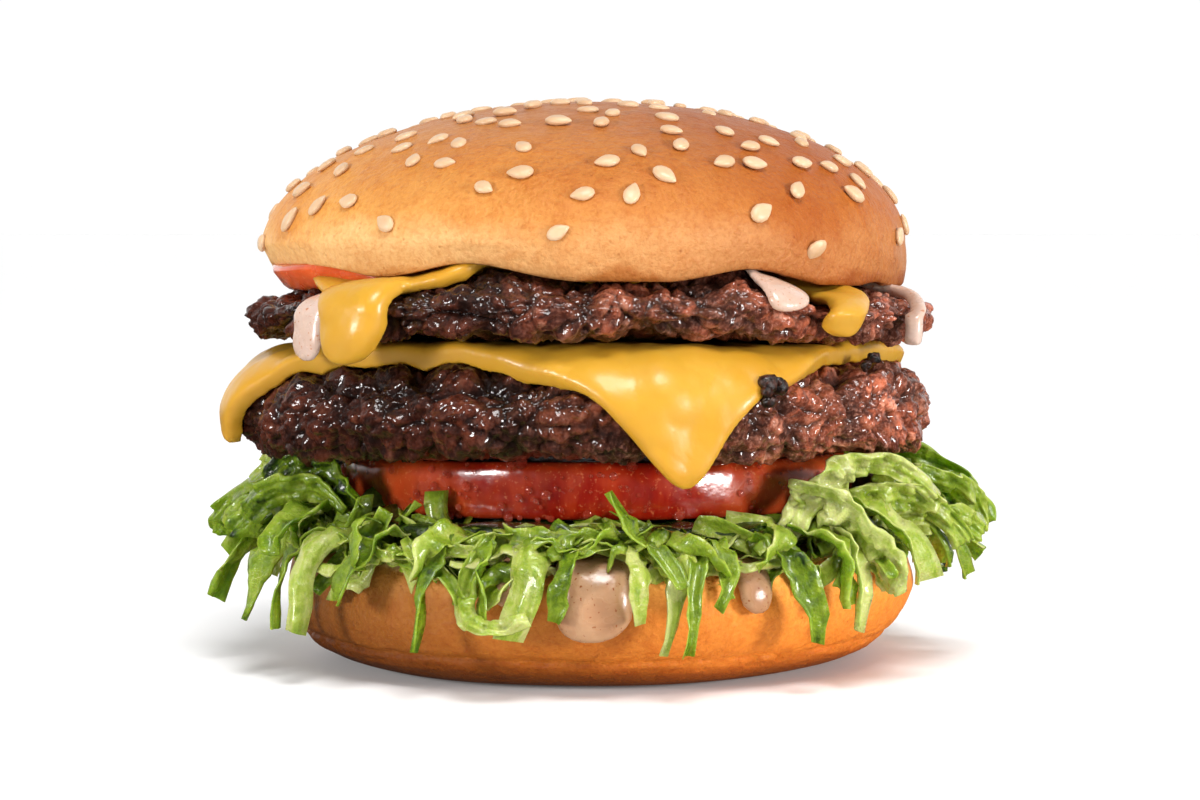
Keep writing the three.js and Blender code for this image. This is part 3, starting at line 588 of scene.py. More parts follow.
class Sheet:
    """A sheet that lies on a carrier out to reach(theta) along its skin, with tongues that run on further.

    Where it lies over other sheets, stack is how high they stand, and from over(theta) on it slopes down over
    a distance of slope. pressed is (from, to, share): between the two its thickness changes to that share.
    """

    def __init__(self, carrier, thick, reach, tongues=(), over=None, slope=1, stack=0, pressed=(0, 1, 1)):
        self.carrier, self.thick, self.reach, self.tongues = carrier, thick, reach, tongues
        self.over, self.slope, self.stack, self.pressed = over, slope, stack, pressed

    def lift(self, theta, s):
        """How high its underside lies over the smooth skin of its carrier."""
        if not self.stack:
            return RAISED + 0 * theta * s
        shares = []
        for turn in np.radians(np.linspace(-SOFT, SOFT, SAMPLES)):
            over = self.over(theta + turn)
            shares.append(1 - smoothstep(s, over, over + self.slope))
        return RAISED + self.stack * np.mean(shares, axis=0)

    def thickness(self, s):
        low, high, share = self.pressed
        return self.thick * lerp(1, share, smoothstep(s, low, high))

    def cover(self, theta):
        """How far the sheet and its tongues go at theta."""
        reach = self.reach(theta)
        for at, width, _, end, *_ in self.tongues:
            away = theta - math.radians(at)
            close = np.abs(np.arctan2(np.sin(away), np.cos(away))) < 0.5 * width / PATTY_R
            reach = np.where(close, np.maximum(reach, end), reach)
        return reach

    def furthest(self, theta):
        """The furthest that it goes a little to either side of theta."""
        step = 2 * math.pi / 48
        return np.max([self.cover(theta + share * step) for share in (-1, -0.5, 0, 0.5, 1)], axis=0)


def slice_reach(corner, half, sharp, melt):
    """The reach of a square slice with rounded corners. melt says where it ran: (azimuth, length, width)."""

    def reach(theta):
        total = 0
        for side in range(4):
            along = np.cos(theta - math.radians(corner + 45) - side * QUARTER)
            total = total + (np.maximum(along, 0) / half) ** sharp
        return total ** (-1 / sharp) + sum(more * bump_at(theta, at, width) for at, more, width in melt)

    return reach


def disc_reach(r, x=0, y=0):
    """The reach of a round slice whose middle is at (x, y)."""

    def reach(theta):
        along = x * np.cos(theta) + y * np.sin(theta)
        return along + np.sqrt(r**2 - x**2 - y**2 + along**2)

    return reach


def sauce_sheet(carrier, edge, tongues):
    """Sauce out to a round edge, with tongues as flat_tongue takes them, but without their start."""
    tongues = [(at, width, edge - 6, *rest) for at, width, *rest in tongues]
    return Sheet(carrier, SAUCE, disc_reach(edge), tongues)


lower_sauce = sauce_sheet(heel_carrier, 43, [
    (-91.5, 12.5, 58.5, 2.6), (-106, 3.5, 54, 1.6), (-64, 6, 55, 1.6), (-28, 8, 54.5, 1.8), (98, 8, 56, 2),
])
upper_sauce = sauce_sheet(upper_patty, 30, [
    (-140.3, 7, 63, 1.2, 1), (-59.5, 5.2, 56.3, 1.5, 3, 1.8), (-28, 2.4, 62, 1.3, 8), (75, 7, 60, 1.8),
])
lower_cheese = Sheet(
    lower_patty, CHEESE, slice_reach(-76.5, 46.5, 18, [
        (-76.5, 5.6, 8), (-57, 2.2, 9), (-168.5, 1.0, 8), (-150, -1.5, 8), (13.5, -13, 14),
    ]),
    pressed=(46, 55, 0.72),
)
upper_cheese = Sheet(
    upper_patty, CHEESE, slice_reach(-131.5, 41, 5, [(-113, 3.8, 8), (-41.5, -7, 17), (-60, -5, 9)]),
    tongues=[(-127.5, 11.5, 36, 64, 4, -1, 1.35), (-48.5, 7.4, 36, 60, 2.6, 6, 1.3), (140, 8, 36, 60, 3)],
    over=upper_sauce.furthest, slope=2.5, stack=SAUCE + GAP, pressed=(38, 46, 0.4),
)
top_tomato = Sheet(
    upper_patty, TOP_TOMATO["thick"], disc_reach(TOP_TOMATO["r"], TOP_TOMATO["x"], TOP_TOMATO["y"]),
    over=lambda theta: 33 + 0 * theta, slope=13, stack=SAUCE + CHEESE + 2 * GAP, pressed=(38, 46, 1.3),
)


def flat_slice(sheet, columns=300):
    """The sheet spread out flat: a closed form whose radius is the distance along the carrier's skin."""
    theta = around(columns)[None, :]
    share = np.array([0.25, 0.5, 0.7, 0.85, 0.93, 0.975, 1.0])[:, None]
    s = share * sheet.reach(theta)
    top = polar(s, theta, sheet.thickness(s) * np.where(share == 1, 0.75, 1))
    return closed_rings(np.concatenate([polar(s, theta, -SUNK), top[::-1]]))


def flat_tongue(at, width, start, end, thick, slant=0, flare=1):
    """A tongue spread out flat, from start to end along the skin at an azimuth.

    It is domed across, rounded at its end and thin where the bun's rim bears on it. Its root is turned by
    slant, in degrees, and is flare times as wide.
    """
    along = (1 - np.linspace(1, 0, 34) ** 1.8)[:-1, None]
    s = lerp(start, end, along)
    from_end = np.minimum(1, (end - s) / (0.5 * width))
    rounding = (1 - (1 - from_end) ** 2.4) ** (1 / 2.4)
    turn = around(28)[None, :]
    across, up = np.cos(turn), np.sin(turn)
    high = thick * lerp(0.4, 1, smoothstep(s, 45, 52)) * lerp(0.35, 1, rounding**0.8)
    root = 1 - smoothstep(s, *ROOT)
    half = 0.5 * width * rounding * lerp(1, flare, root)
    theta = math.radians(at) + across * half / PATTY_R + math.radians(slant) * root
    z = np.where(up > 0, high * np.abs(up) ** 0.8, -SUNK * np.minimum(1, rounding * 3) * np.abs(up))
    return closed_rings(polar(s, theta, z)[::-1])


def draped(sheet, form, folds=None):
    """A flat form laid on its sheet's carrier and settled with the stack."""
    points, faces = form
    x, y, high = points.T
    s, theta = np.hypot(x, y), np.arctan2(y, x)
    r, z = sheet.carrier.point(theta, s, 0)
    sink = skin_sink(polar(r, theta, z)) if sheet.carrier is not heel_carrier else 0 * s
    share = np.clip((high + SUNK) / (sheet.thickness(s) + SUNK), 0, 1)
    lift = sheet.lift(theta, s) + high - sink * lerp(1, SAGGING, share)
    if folds:
        lift = lift + folds(theta, s) * share
    r, z = sheet.carrier.point(theta, s, lift)
    return settle(polar(r, theta, z)), faces


def cheese_folds(theta, s):
    """Soft creases down a hanging corner."""
    wave = 0.22 * np.sin(22 * theta + 0.8) + 0.12 * np.sin(41 * theta + 2)
    return wave * smoothstep(s, 44, 56)


def cheese_shader():
    m = Shader(
        "cheese", specular_ior_level=0.4, coat_weight=0.15, coat_roughness=0.16,
        subsurface_weight=0.3, subsurface_radius=(1, 0.55, 0.10), subsurface_scale=0.0016,
    )
    m.set("Base Color", m.ramp(m.noise(14), (0.3, (0.52, 0.255, 0.016)), (0.7, (0.58, 0.31, 0.028))))
    m.rough(5, 0.30, 0.46)
    m.bumps((m.noise(9, 2), 0.3), (m.noise(0.8, 2), 0.02))
    return m.material


def sauce_shader(name, pale, deep, fleck):
    m = Shader(
        name, specular_ior_level=0.55, coat_weight=0.3, coat_roughness=0.1,
        subsurface_weight=0.4, subsurface_radius=(1, 0.7, 0.5), subsurface_scale=0.0015,
    )
    colour = m.ramp(m.noise(6), (0.35, pale), (0.7, deep))
    m.set("Base Color", m.mix(m.span(m.noise(0.55, 1), 0.66, 0.72), colour, fleck))
    m.rough(3, 0.22, 0.34)
    m.bumps((m.noise(4, 2), 0.35), (m.noise(0.7, 2), 0.04))
    return m.material


def spread(name, node, sheet, material, slot, voxel=0.5, smoothing=5, folds=None):
    """The piece of a sheet: its slice and its tongues, melted together while flat and then draped."""
    flat = [flat_slice(sheet), *(flat_tongue(*tongue) for tongue in sheet.tongues)]
    form = melted(flat, voxel, smoothing, keep=0.35)
    piece(name, draped(sheet, form, folds), material, slot, node)


cheese = cheese_shader()
spread("cheese_lower_slice", "cheese_lower", lower_cheese, cheese, "cheese", folds=cheese_folds)
spread("cheese_upper_slice", "cheese_upper", upper_cheese, cheese, "cheese", smoothing=10)
pink_sauce = sauce_shader("pink_sauce", (0.50, 0.29, 0.16), (0.40, 0.19, 0.09), (0.30, 0.09, 0.03))
pale_sauce = sauce_shader("pale_sauce", (0.60, 0.45, 0.38), (0.52, 0.35, 0.26), (0.45, 0.20, 0.11))
spread("sauce_lower_spread", "sauce_lower", lower_sauce, pink_sauce, "sauce", voxel=0.55)
spread("sauce_upper_spread", "sauce_upper", upper_sauce, pale_sauce, "sauce")

# ---------------------------------------------------------------- tomatoes


def tomato_skin_at(t):
    """(radius, height) on the bulging skin of the thick slice. t goes from -1 at its lower edge to 1."""
    return TOMATO["r"] - TOMATO["bulge"] * abs(t) ** 2.6, TOMATO["thick"] / 2 * math.sin(t * QUARTER)


def tomato_form(columns=320):
    """A thick round slice, its skin bulging and its cut edges crisp."""
    half, bulge, r = TOMATO["thick"] / 2, TOMATO["bulge"], TOMATO["r"]
    theta = around(columns)[None, :]
    side = [tomato_skin_at(t) for t in np.linspace(-1, 1, 34)]
    flat = [(q, -half) for q in np.linspace(4, r - bulge - 0.4, 14)]
    profile = [*flat, (r - bulge - 0.1, -half + 0.02), *side[1:-1], (r - bulge - 0.1, half - 0.02)]
    profile += [(q, half) for q, _ in reversed(flat)]
    radius, z = (np.array(part)[:, None] for part in zip(*profile))
    lobes = 1 + 0.007 * np.cos(5 * theta + 0.5) + 0.006 * np.cos(2 * theta)
    p = polar(radius * lobes, theta, z + tomato_z + half)
    p = p + 0.12 * noise3(p, 6) * smoothstep(radius, 36, 40)[..., None]
    return closed_rings(settle(p))


def thin_tomato_form(columns=240):
    """The thin slice under the crown, laid over the cheese and sauce."""
    theta = around(columns)[None, :]
    reach = top_tomato.reach(theta)
    inset = np.array([*np.linspace(0.15, 0.9, 14), 0.94, 0.97, 0.985, 0.995, 1.0])[:, None]
    s = inset * reach
    thick = top_tomato.thickness(s)
    rounding = np.sqrt(np.clip(1 - (1 - np.minimum(1, (reach - s) / 1.1)) ** 2, 0, 1))
    layers = []
    for side in (-1, 1):
        high = thick * (0.5 + 0.5 * side * lerp(0.35, 1, rounding))
        high = high - (side < 0) * SUNK * 2 * smoothstep(s, 38, 45)
        r, z = upper_patty.point(theta, s, top_tomato.lift(theta, s) + high)
        layers.append(settle(polar(r, theta, z)))
    return closed_rings(np.concatenate([layers[0], layers[1][::-1]]))


def tomato_shader():
    m = Shader(
        "tomato_skin", specular_ior_level=0.5, coat_weight=0.55, coat_roughness=0.07,
        subsurface_weight=0.3, subsurface_radius=(1, 0.25, 0.1), subsurface_scale=0.002,
    )
    streaks = m.noise(3, 4, 0.6, m.place((1, 1, 0.25)))
    colour = m.ramp(
        streaks, (0.25, (0.19, 0.004, 0.001)), (0.5, (0.30, 0.009, 0.002)), (0.8, (0.46, 0.04, 0.008)),
    )
    # Painted light: both ends of the slice are mixed towards a brighter orange-red, while its middle stays
    # darker.
    across = m.maths("ABSOLUTE", m.add("SeparateXYZ", {0: m.place()}).outputs["X"], 0)
    ends = m.maths("ADD", m.span(across, 0.014, 0.036, 0, 0.75), m.span(m.noise(9, 3), 0.3, 0.7, -0.2, 0.25))
    colour = m.mix(ends, colour, (0.72, 0.115, 0.022))
    specks = m.span(m.noise(0.6, 2), 0.60, 0.72, 0, 0.4)
    m.set("Base Color", m.mix(specks, colour, (0.75, 0.24, 0.09)))
    m.rough(4, 0.12, 0.30)
    m.bumps((m.noise(5, 2), 0.3), (m.noise(0.5, 2), 0.02))
    return m.material


tomato_skin = tomato_shader()
piece("tomato_slice", tomato_form(), tomato_skin, "tomato", "tomato")
piece("tomato_upper_slice", thin_tomato_form(), tomato_skin, "tomato", "tomato_upper")


def droplet(centre, outward, r, high):
    """A bead of water that sits on a surface."""
    outward = outward / np.linalg.norm(outward)
    side = normalised(np.cross(outward, [0.1, 0.2, 1.0]))
    up = np.cross(outward, side)
    theta = around(10)[None, :]
    turn = np.linspace(0.08, 1, 5)[:-1, None] * QUARTER - 0.08 * QUARTER
    radius = np.concatenate([[[0.85 * r]], r * np.cos(turn)])
    lift = np.concatenate([[[-0.15 * high]], high * np.sin(turn)])
    ring = radius[..., None] * (np.cos(theta)[..., None] * side + np.sin(theta)[..., None] * up)
    points, faces = closed_rings(centre + ring + lift[..., None] * outward)
    points[-1] = centre + outward * high
    return points, faces


def droplets(count=420):
    """Beads of water all over the skin of the thick slice."""
    draw = draws(5)
    forms = []
    for _ in range(count):
        theta, t = 2 * math.pi * draw(), 1.7 * draw() - 0.85
        size = 0.28 + 0.75 * draw() ** 2.5
        r, z = tomato_skin_at(t)
        at = polar(r + 0.05, theta, z + tomato_z + TOMATO["thick"] / 2)
        forms.append(droplet(settle(at), polar(1, theta, 0.25 * t), size, 0.6 * size))
    return joined(forms)


def water_shader():
    m = Shader(
        "water", roughness=0.04, ior=1.33, specular_ior_level=0.8, coat_weight=1.0, coat_roughness=0.02,
        alpha=0.34,
    )
    m.set("Base Color", m.ramp(m.noise(2), (0.3, (0.42, 0.025, 0.010)), (0.7, (0.62, 0.10, 0.05))))
    return m.material


piece("water_droplets", droplets(), water_shader(), "tomato")

# ---------------------------------------------------------------- buns


def heel_form(columns=360):
    """The bottom bun: a flat foot, a wrinkled seam where it rose in its pan, a waist and a level cut face."""
    foot_r, waist_r, waist_z, top_z, rounding = HEEL.values()
    knots = np.array([
        (0, 0), (foot_r, 0), (38, 0.35), (41.5, 1.3), (45.4, 3.1), (47.3, 5.0), (48.9, 7.4), (50, 10),
        (waist_r, waist_z),
    ])
    length = np.concatenate([[0], np.cumsum(np.hypot(*np.diff(knots, axis=0).T))])
    at = np.concatenate([np.linspace(4, foot_r, 8), np.linspace(foot_r + 0.4, length[-1], 62)])
    r, z = np.interp(at, length, knots[:, 0]), np.interp(at, length, knots[:, 1])
    for _ in range(6):
        for run in (r, z):
            run[9:-1] = (run[8:-2] + 2 * run[9:-1] + run[10:]) / 4
    turn = np.linspace(1, 0, 22)[1:] * QUARTER
    shoulder, cut = waist_r - rounding * (1 - np.sin(turn)), np.linspace(waist_r - rounding - 1, 3, 16)
    r = np.concatenate([r, shoulder, cut])
    z = np.concatenate([z, waist_z + (top_z - waist_z) * np.cos(turn), np.full(len(cut), top_z)])
    theta = around(columns)[None, :]
    r, z = r[:, None], z[:, None]
    wobble = np.where(r > foot_r, 0.35 * np.cos(3 * theta + 1) + 0.25 * np.cos(7 * theta + 2.4) - 0.6, 0)
    p = polar(r + wobble * smoothstep(r, foot_r, foot_r + 6), theta, z)
    seam_z = 5.4 + 0.5 * noise(p * [1, 1, 0], 16)
    groove = np.exp(-(((z - seam_z) / 0.5) ** 2)) * (0.75 + 0.5 * noise(p * [1, 1, 0], 5))
    wrinkles = np.exp(-(((z - seam_z + 0.4) / 2.0) ** 2)) * np.maximum(0, noise(p * [1, 1, 2.2], 2.0)) * 0.8
    soft = 0.40 * noise(p, 15) + 0.20 * noise(p, 4) + 0.10 * noise(p, 1.6) + 0.05 * noise(p, 0.8)
    soft = soft * smoothstep(z, 0.3, 4) * (1 - smoothstep(z, 17, 19))
    out = (soft - groove - wrinkles) * smoothstep(z, 0.2, 2)
    return closed_rings(settle(p + polar(out, theta, 0)))


def dome_point(degrees):
    """(radius, height) on the top bun at an angle from straight up. Past 90 degrees it turns in again."""
    turn = np.radians(degrees)
    above, below = CROWN["top_z"] - CROWN["waist_z"], CROWN["waist_z"] - CROWN["rim_z"]
    high = np.where(np.cos(turn) > 0, above, below)
    return CROWN["waist_r"] * np.sin(turn), CROWN["waist_z"] + np.cos(turn) * high


RADIUS_STEP = 0.25
RADII = np.arange(0, 70, RADIUS_STEP)
NEAR, SIDEWAYS = 5, 2  # how many steps of radius and of azimuth the crown keeps clear of what is under it


def radius_column(r):
    """Which of RADII is the nearest."""
    return np.clip(np.rint(r / RADIUS_STEP).astype(int), 0, len(RADII) - 1)


def fillings_top(theta):
    """The height of what lies under the top bun, for each azimuth and each of RADII."""
    s = np.arange(20, 76, 0.2)[None, :]
    theta = theta[:, None]
    rows = np.broadcast_to(np.arange(len(theta))[:, None], (len(theta), s.shape[1]))
    high = np.zeros((len(theta), len(RADII)))
    for sheet in (upper_cheese, upper_sauce, top_tomato, None):
        lift = sheet.lift(theta, s) + sheet.thickness(s) if sheet else 0 * s
        r, z = upper_patty.point(theta, s, lift)
        if sheet:
            z = np.where(s <= sheet.cover(theta), z, 0)
        np.maximum.at(high, (rows, radius_column(r)), z)
    for axis, steps in ((1, NEAR), (0, SIDEWAYS)):
        high = np.max([np.roll(high, shift, axis) for shift in range(-steps, steps + 1)], axis=0)
    return high


def crown_form(columns=360):
    """The top bun: a dome whose turned-in lip rides up over the fillings, hollow where it lies on them."""
    rim_r, rim_z, waist_z = CROWN["rim_r"], CROWN["rim_z"], CROWN["waist_z"]
    lip = [(rim_r, rim_z), (49.75, 60.75), (50.2, 61.3), (50.55, 62.2), (50.85, 63.3)]
    lip += [(51.1, 64.5), (51.25, 65.5)]
    under = [(r, hollow_z) for r in (4, 15, 26, 32, 37)]
    under += [(39.5, hollow_z - 0.9), (42, hollow_z - 2.5), (43.9, 64.4), (45.8, rim_z + 1.6)]
    under += [(47, 61.7), (48.2, 61.1), (48.9, 60.7)]
    dome = [dome_point(degrees) for degrees in np.linspace(90, 4, 64)]
    radius, height = (np.array(part)[:, None] for part in zip(*under, *lip, *dome))
    theta = around(columns)[None, :]
    tops = fillings_top(theta[0])
    below = tops[:, radius_column(radius[:, 0])].T
    z = np.broadcast_to(height, below.shape).copy()
    inner = np.arange(len(radius)) < len(under)
    z[inner] = np.maximum(z[inner], below[inner] + 0.15)
    rim_top = tops[:, radius_column(rim_r + 1)]
    for _ in range(40):
        rim_top = (np.roll(rim_top, 1) + 2 * rim_top + np.roll(rim_top, -1)) / 4
    ride_up = 0.8 * np.maximum(0, rim_top + 0.2 - rim_z) * (1 - smoothstep(height, rim_z + 1, waist_z + 2))
    z = np.where(inner[:, None], z, z + ride_up)
    p = polar(radius, theta, z)
    soft = 0.40 * noise(p, 17) + 0.16 * noise(p, 6) + 0.05 * noise(p, 2.2)
    outward = normalised(p * [1, 1, 2.4] - [0, 0, 2.4 * 50])
    out = (soft * ~inner[:, None] - 0.15)[..., None] * smoothstep(height, rim_z, rim_z + 2)[..., None]
    return closed_rings(settle(p + outward * out))


def crust_shader(name, stops, right, low, high):
    """Baked crust. stops colour it from height low to high in millimetres; right multiplies its right side,
    as painted light and shade.
    """
    m = Shader(
        name, specular_ior_level=0.18,
        subsurface_weight=0.1, subsurface_radius=(1, 0.6, 0.3), subsurface_scale=0.002,
    )
    position = m.add("SeparateXYZ", {0: m.place()})
    blotches, mottle, grain = m.noise(16, 4, 0.55), m.noise(3.2, 4, 0.6), m.noise(0.8, 4, 0.65)
    pores = m.maths("MULTIPLY", m.span(m.cells(1.7), 0.05, 0.16, 0.6, 0), m.span(m.noise(5, 2), 0.45, 0.6))
    height = m.span(position.outputs["Z"], low * MM, high * MM)
    colour = m.ramp(m.maths("ADD", height, m.span(blotches, 0.3, 0.7, -0.08, 0.08)), *stops)
    for factor, tint in (
        # painted light and shade: the right side is darkened on the crown and brightened on the heel
        (m.span(position.outputs["X"], -0.040, 0.030), right),
        (m.span(blotches, 0.42, 0.7, 0, 0.4), (0.86, 0.68, 0.50)),
        (m.span(mottle, 0.45, 0.7, 0, 0.45), (0.84, 0.66, 0.48)),
        (m.span(grain, 0.42, 0.7, 0, 0.55), (0.78, 0.58, 0.40)),
        (pores, (0.55, 0.34, 0.18)),
    ):
        colour = m.mix(factor, colour, tint, "MULTIPLY")
    m.set("Base Color", colour)
    m.rough(2.5, 0.36, 0.52, detail=3)
    m.bumps((m.noise(4, 3), 0.45), (mottle, 0.40), (grain, 0.20), (m.noise(0.35, 3), 0.06))
    return m.material


# Its stops darken again towards the top, and its right side is multiplied darker, painted shade.
# Painted light and shade: the crown is palest a little above its rim, for light thrown up by the floor, and
# darkest at the rim, where shade falls.
crown_crust = crust_shader("crown_crust", [
    (0.0, (0.56, 0.24, 0.060)), (0.05, (0.76, 0.44, 0.17)), (0.20, (0.78, 0.46, 0.18)),
    (0.34, (0.70, 0.33, 0.080)), (0.6, (0.64, 0.27, 0.056)), (1.0, (0.56, 0.24, 0.070)),
], (0.58, 0.37, 0.26), CROWN["rim_z"], CROWN["top_z"])
# Painted light: the heel's right side is multiplied lighter.
heel_crust = crust_shader("heel_crust", [
    (0.0, (0.09, 0.024, 0.003)), (0.22, (0.14, 0.037, 0.004)), (0.30, (0.20, 0.062, 0.008)),
    (0.7, (0.25, 0.086, 0.013)), (0.95, (0.40, 0.18, 0.042)), (1.0, (0.76, 0.58, 0.33)),
], (3.8, 3.8, 3.4), 0, HEEL["top_z"])
piece("bun_bottom_crust", heel_form(), heel_crust, "bun_bottom", "bun_bottom")
piece("bun_top_crust", crown_form(), crown_crust, "bun_top", "bun_top")

# ---------------------------------------------------------------- sesame seeds

SEEDS = dict(long=3.9, wide=2.5, deep=1.7, lowest=98, top_spacing=5.2, waist_spacing=7.6)
SEEDS_IN_PART = 74
SEED_COUNT = 160
CLOSER = 0.74  # how much nearer each other, and the top, the seeds are that the part doesn't have


def seed_places():
    """The part's own seeds in its own places, then more between them."""
    draw = draws(11)
    places = []
    while len(places) < SEED_COUNT:
        close = CLOSER if len(places) >= SEEDS_IN_PART else 1
        degrees = close * math.degrees(math.acos(lerp(1, math.cos(math.radians(SEEDS["lowest"])), draw())))
        theta = 2 * math.pi * draw()
        turn, scale = 2 * math.pi * draw(), lerp(0.86, 1.12, draw())
        r, z = dome_point(degrees)
        at = np.array([r * math.cos(theta), r * math.sin(theta), z])
        apart = close * lerp(SEEDS["top_spacing"], SEEDS["waist_spacing"], degrees / 90)
        if all(np.linalg.norm(other[0] - at) > apart for other in places):
            places.append((at, degrees, theta, turn, scale))
    return places


def seed_form(at, degrees, theta, turn, scale):
    """A flat teardrop that lies on the dome, sunk a third of the way into it."""
    (r0, z0), (r1, z1) = dome_point(degrees - 0.5), dome_point(degrees + 0.5)
    normal = normalised(np.array([(z0 - z1) * math.cos(theta), (z0 - z1) * math.sin(theta), r1 - r0]))
    stand = np.array(Vector((0, 0, 1)).rotation_difference(Vector(normal)).to_matrix())
    cos, sin = math.cos(turn), math.sin(turn)
    spin = np.array([[cos, -sin, 0], [sin, cos, 0], [0, 0, 1]])
    x, y, z = np.moveaxis(ball(9, 14), -1, 0)
    tip = np.maximum(0, y)
    pointed = np.where(y > 0, 1 - 0.58 * tip**1.3, 1 - 0.08 * y)
    x, z = x * SEEDS["wide"] * pointed / 2, z * SEEDS["deep"] * 0.42 * (1 - 0.25 * tip) + 0.25
    points = scale * np.stack([x, y * SEEDS["long"] / 2, z], -1) @ spin.T @ stand.T + at
    return closed_rings(settle(points))


def seed_shader():
    m = Shader(
        "sesame", specular_ior_level=0.45,
        subsurface_weight=0.25, subsurface_radius=(1, 0.75, 0.5), subsurface_scale=0.0012,
    )
    colour = m.ramp(m.noise(5, 2), (0.3, (0.57, 0.36, 0.20)), (0.7, (0.65, 0.45, 0.28)))
    m.set("Base Color", m.mix(m.span(m.noise(0.6, 3), 0.5, 0.8, 0, 0.4), colour, (0.62, 0.38, 0.19)))
    m.rough(1.5, 0.30, 0.45)
    m.bumps((m.noise(0.5, 2), 0.05))
    return m.material


seeds = joined(seed_form(*place) for place in seed_places())
piece("sesame_seeds", seeds, seed_shader(), "bun_top", "bun_top")

# ---------------------------------------------------------------- lettuce


def lettuce_core(columns=240):
    """The pressed bed of leaf, heaped up at the left and right of the tomato."""
    low, high, inner = lettuce_z, lettuce_z + LETTUCE_THICK, TOMATO["r"] + 1
    profile = [(8, low), (30, low), (44, low), (46.8, low + 1.2), (47.4, high - 0.8), (46.4, high - 0.2)]
    profile += [(45, high), (inner + 2, high), (inner + 0.8, high)]
    profile += [(r, high - 0.01) for r in (inner, 20, 5)]
    r, z = (np.array(part)[:, None] for part in zip(*profile))
    theta = around(columns)[None, :]
    heaped = smoothstep(np.abs(np.cos(theta)), 0.90, 0.97) * (0.9 + 0.1 * np.sin(7 * theta))
    raised = (r > inner + 0.5) & (z > low + 2)
    z = z + np.where(raised, heaped * LETTUCE_HEAP * np.where(r > 47, 0.6, 1), 0)
    ragged = 1 + smoothstep(r, 43, 48) * (0.025 * np.sin(11 * theta + 1) + 0.015 * np.sin(17 * theta))
    p = polar(0.985 * r * ragged, theta, z)
    return closed_rings(settle(p + 0.5 * noise3(p, 3) * smoothstep(r, 38, 42)[..., None]))


# The hanging shreds at the front, one by one: the first eight of SHRED_KEYS. Angles are in degrees, and a
# tone says how dark the green is, from 0 to 1.
FRONT_SHREDS = [
    (-182, 25, 5, 9, 4, 5, 40, 0.5), (-174, 22, 3, 12, 3, 4.5, 25, 0.6), (-166, 27, 4, 6, -4, 4, 50, 0.4),
    (-160, 22, 3, 13, 5, 5, -20, 0.35), (-152, 25, 3, 5, 7, 5, 30, 0.5),
    (-146, 22, 2.5, 14, -4, 4, 30, 0.55), (-140, 22, 3, 13.8, -2, 4.2, -10, 0.2),
    (-134, 23, 4, 4, 6, 3.6, 40, 0.6), (-128, 22, 3.5, 8.5, -4, 5, 20, 0.45),
    (-116.5, 22, 2.5, 14.6, -1, 3.2, 10, 0.8), (-113, 22.5, 3, 5, -7, 3.6, -50, 0.4),
    (-110.5, 21.8, 2, 10, 3, 3.2, 35, 0.55), (-99, 21.8, 2, 12.3, -5, 5.6, -6, 0.3),
    (-95.5, 21.6, 1.5, 9.4, -1, 3.1, 5, 0.75), (-84.5, 21.8, 2, 9.6, 1, 3.4, -10, 0.15),
    (-80, 22.5, 3, 4, 8, 3.4, 50, 0.45), (-77.3, 22, 2.5, 14.8, -1, 3.1, 10, 0.15),
    (-73.6, 22, 2.5, 14.6, -3, 2.8, -15, 0.7), (-69, 21.8, 2, 8, -4, 3.2, -25, 0.5),
    (-62, 22, 3, 14, 5.5, 4.2, 15, 0.8), (-57, 23, 3.5, 4, -8, 3.6, -40, 0.4),
    (-52, 22, 3, 9, 3, 3.6, -20, 0.5), (-46.5, 22, 2.5, 12.6, 0, 3.4, -10, 0.15),
    (-39, 27, 3.5, 11.5, 3, 8, 10, 0.2), (-26, 25, 4, 8, 5, 5, 40, 0.45), (-15, 23, 3, 9, 3, 4.5, 30, 0.3),
    (-5, 25, 5, 8, -3, 5, -30, 0.5),
]
OTHER_SHREDS = 11
SHRED_KEYS = ("azimuth", "height", "rise", "drop", "lean", "width", "twist", "tone", "start", "reach")


def part_shreds():
    """The part's own shreds, in its own order of draws."""
    draw = draws(29)
    shreds = []
    for shred in FRONT_SHREDS:
        start = 42.5 + 2 * draw()
        at_end = 5 * math.cos(math.radians(shred[0])) ** 4
        shreds.append((*shred, start, 55 + 1.5 * draw() + at_end - start))
    for i in range(OTHER_SHREDS):
        azimuth = 4 + 172 * (i + 0.6 * draw()) / OTHER_SHREDS
        start = 42.5 + 2 * draw()
        reach = 54.5 + 4 * draw() - start
        rise, drop = 1.5 + 3 * draw(), 5 + 11 * draw()
        lean, width, twist = 8 * (draw() - 0.5), 3.4 + 3.2 * draw(), 70 * (draw() - 0.5)
        shreds.append((azimuth, 21.8 + 2 * draw(), rise, drop, lean, width, twist, None, start, reach))
    return [dict(zip(SHRED_KEYS, shred)) for shred in shreds]


def bezier(points, t):
    """A cubic Bezier curve through the first and the last of four points."""
    a, b, c, d = points
    u = 1 - t
    return u**3 * a + 3 * u * u * t * b + 3 * u * t * t * c + t**3 * d


def hanging_ribbon(shred, draw):
    """A shred that leaves the heap, arches over and hangs. At the left and right it arches less."""
    theta = math.radians(shred["azimuth"])
    out, side = directions(theta)
    fan = math.cos(theta) ** 4
    start, reach, height, rise, drop = (shred[key] for key in ("start", "reach", "height", "rise", "drop"))
    knots = [
        out * (start + far * reach) + side * lean * shred["lean"] + [0, 0, height + up]
        for far, lean, up in (
            (0, 0, 0),
            (lerp(0.6, 0.3, fan), 0.1, rise),
            (lerp(1.05, 0.7, fan), 0.5, lerp(0.6, 0.4, fan) * rise),
            (1, 1, -drop),
        )
    ]
    t = np.linspace(0, 1, STEPS)[:, None]
    sway = np.sin(2 * math.pi * (lerp(0.5, 1.1, draw()) * t + draw())) * t * (1 - 0.4 * t)
    swell = np.sin(2 * math.pi * (lerp(0.6, 1.3, draw()) * t + draw())) * t
    at = bezier(knots, t) + side * 1.8 * sway + out * 0.9 * swell
    return ribbon(at, side, shred["width"], 0, shred["twist"] + lerp(-50, 50, draw()), draw, shred["tone"])


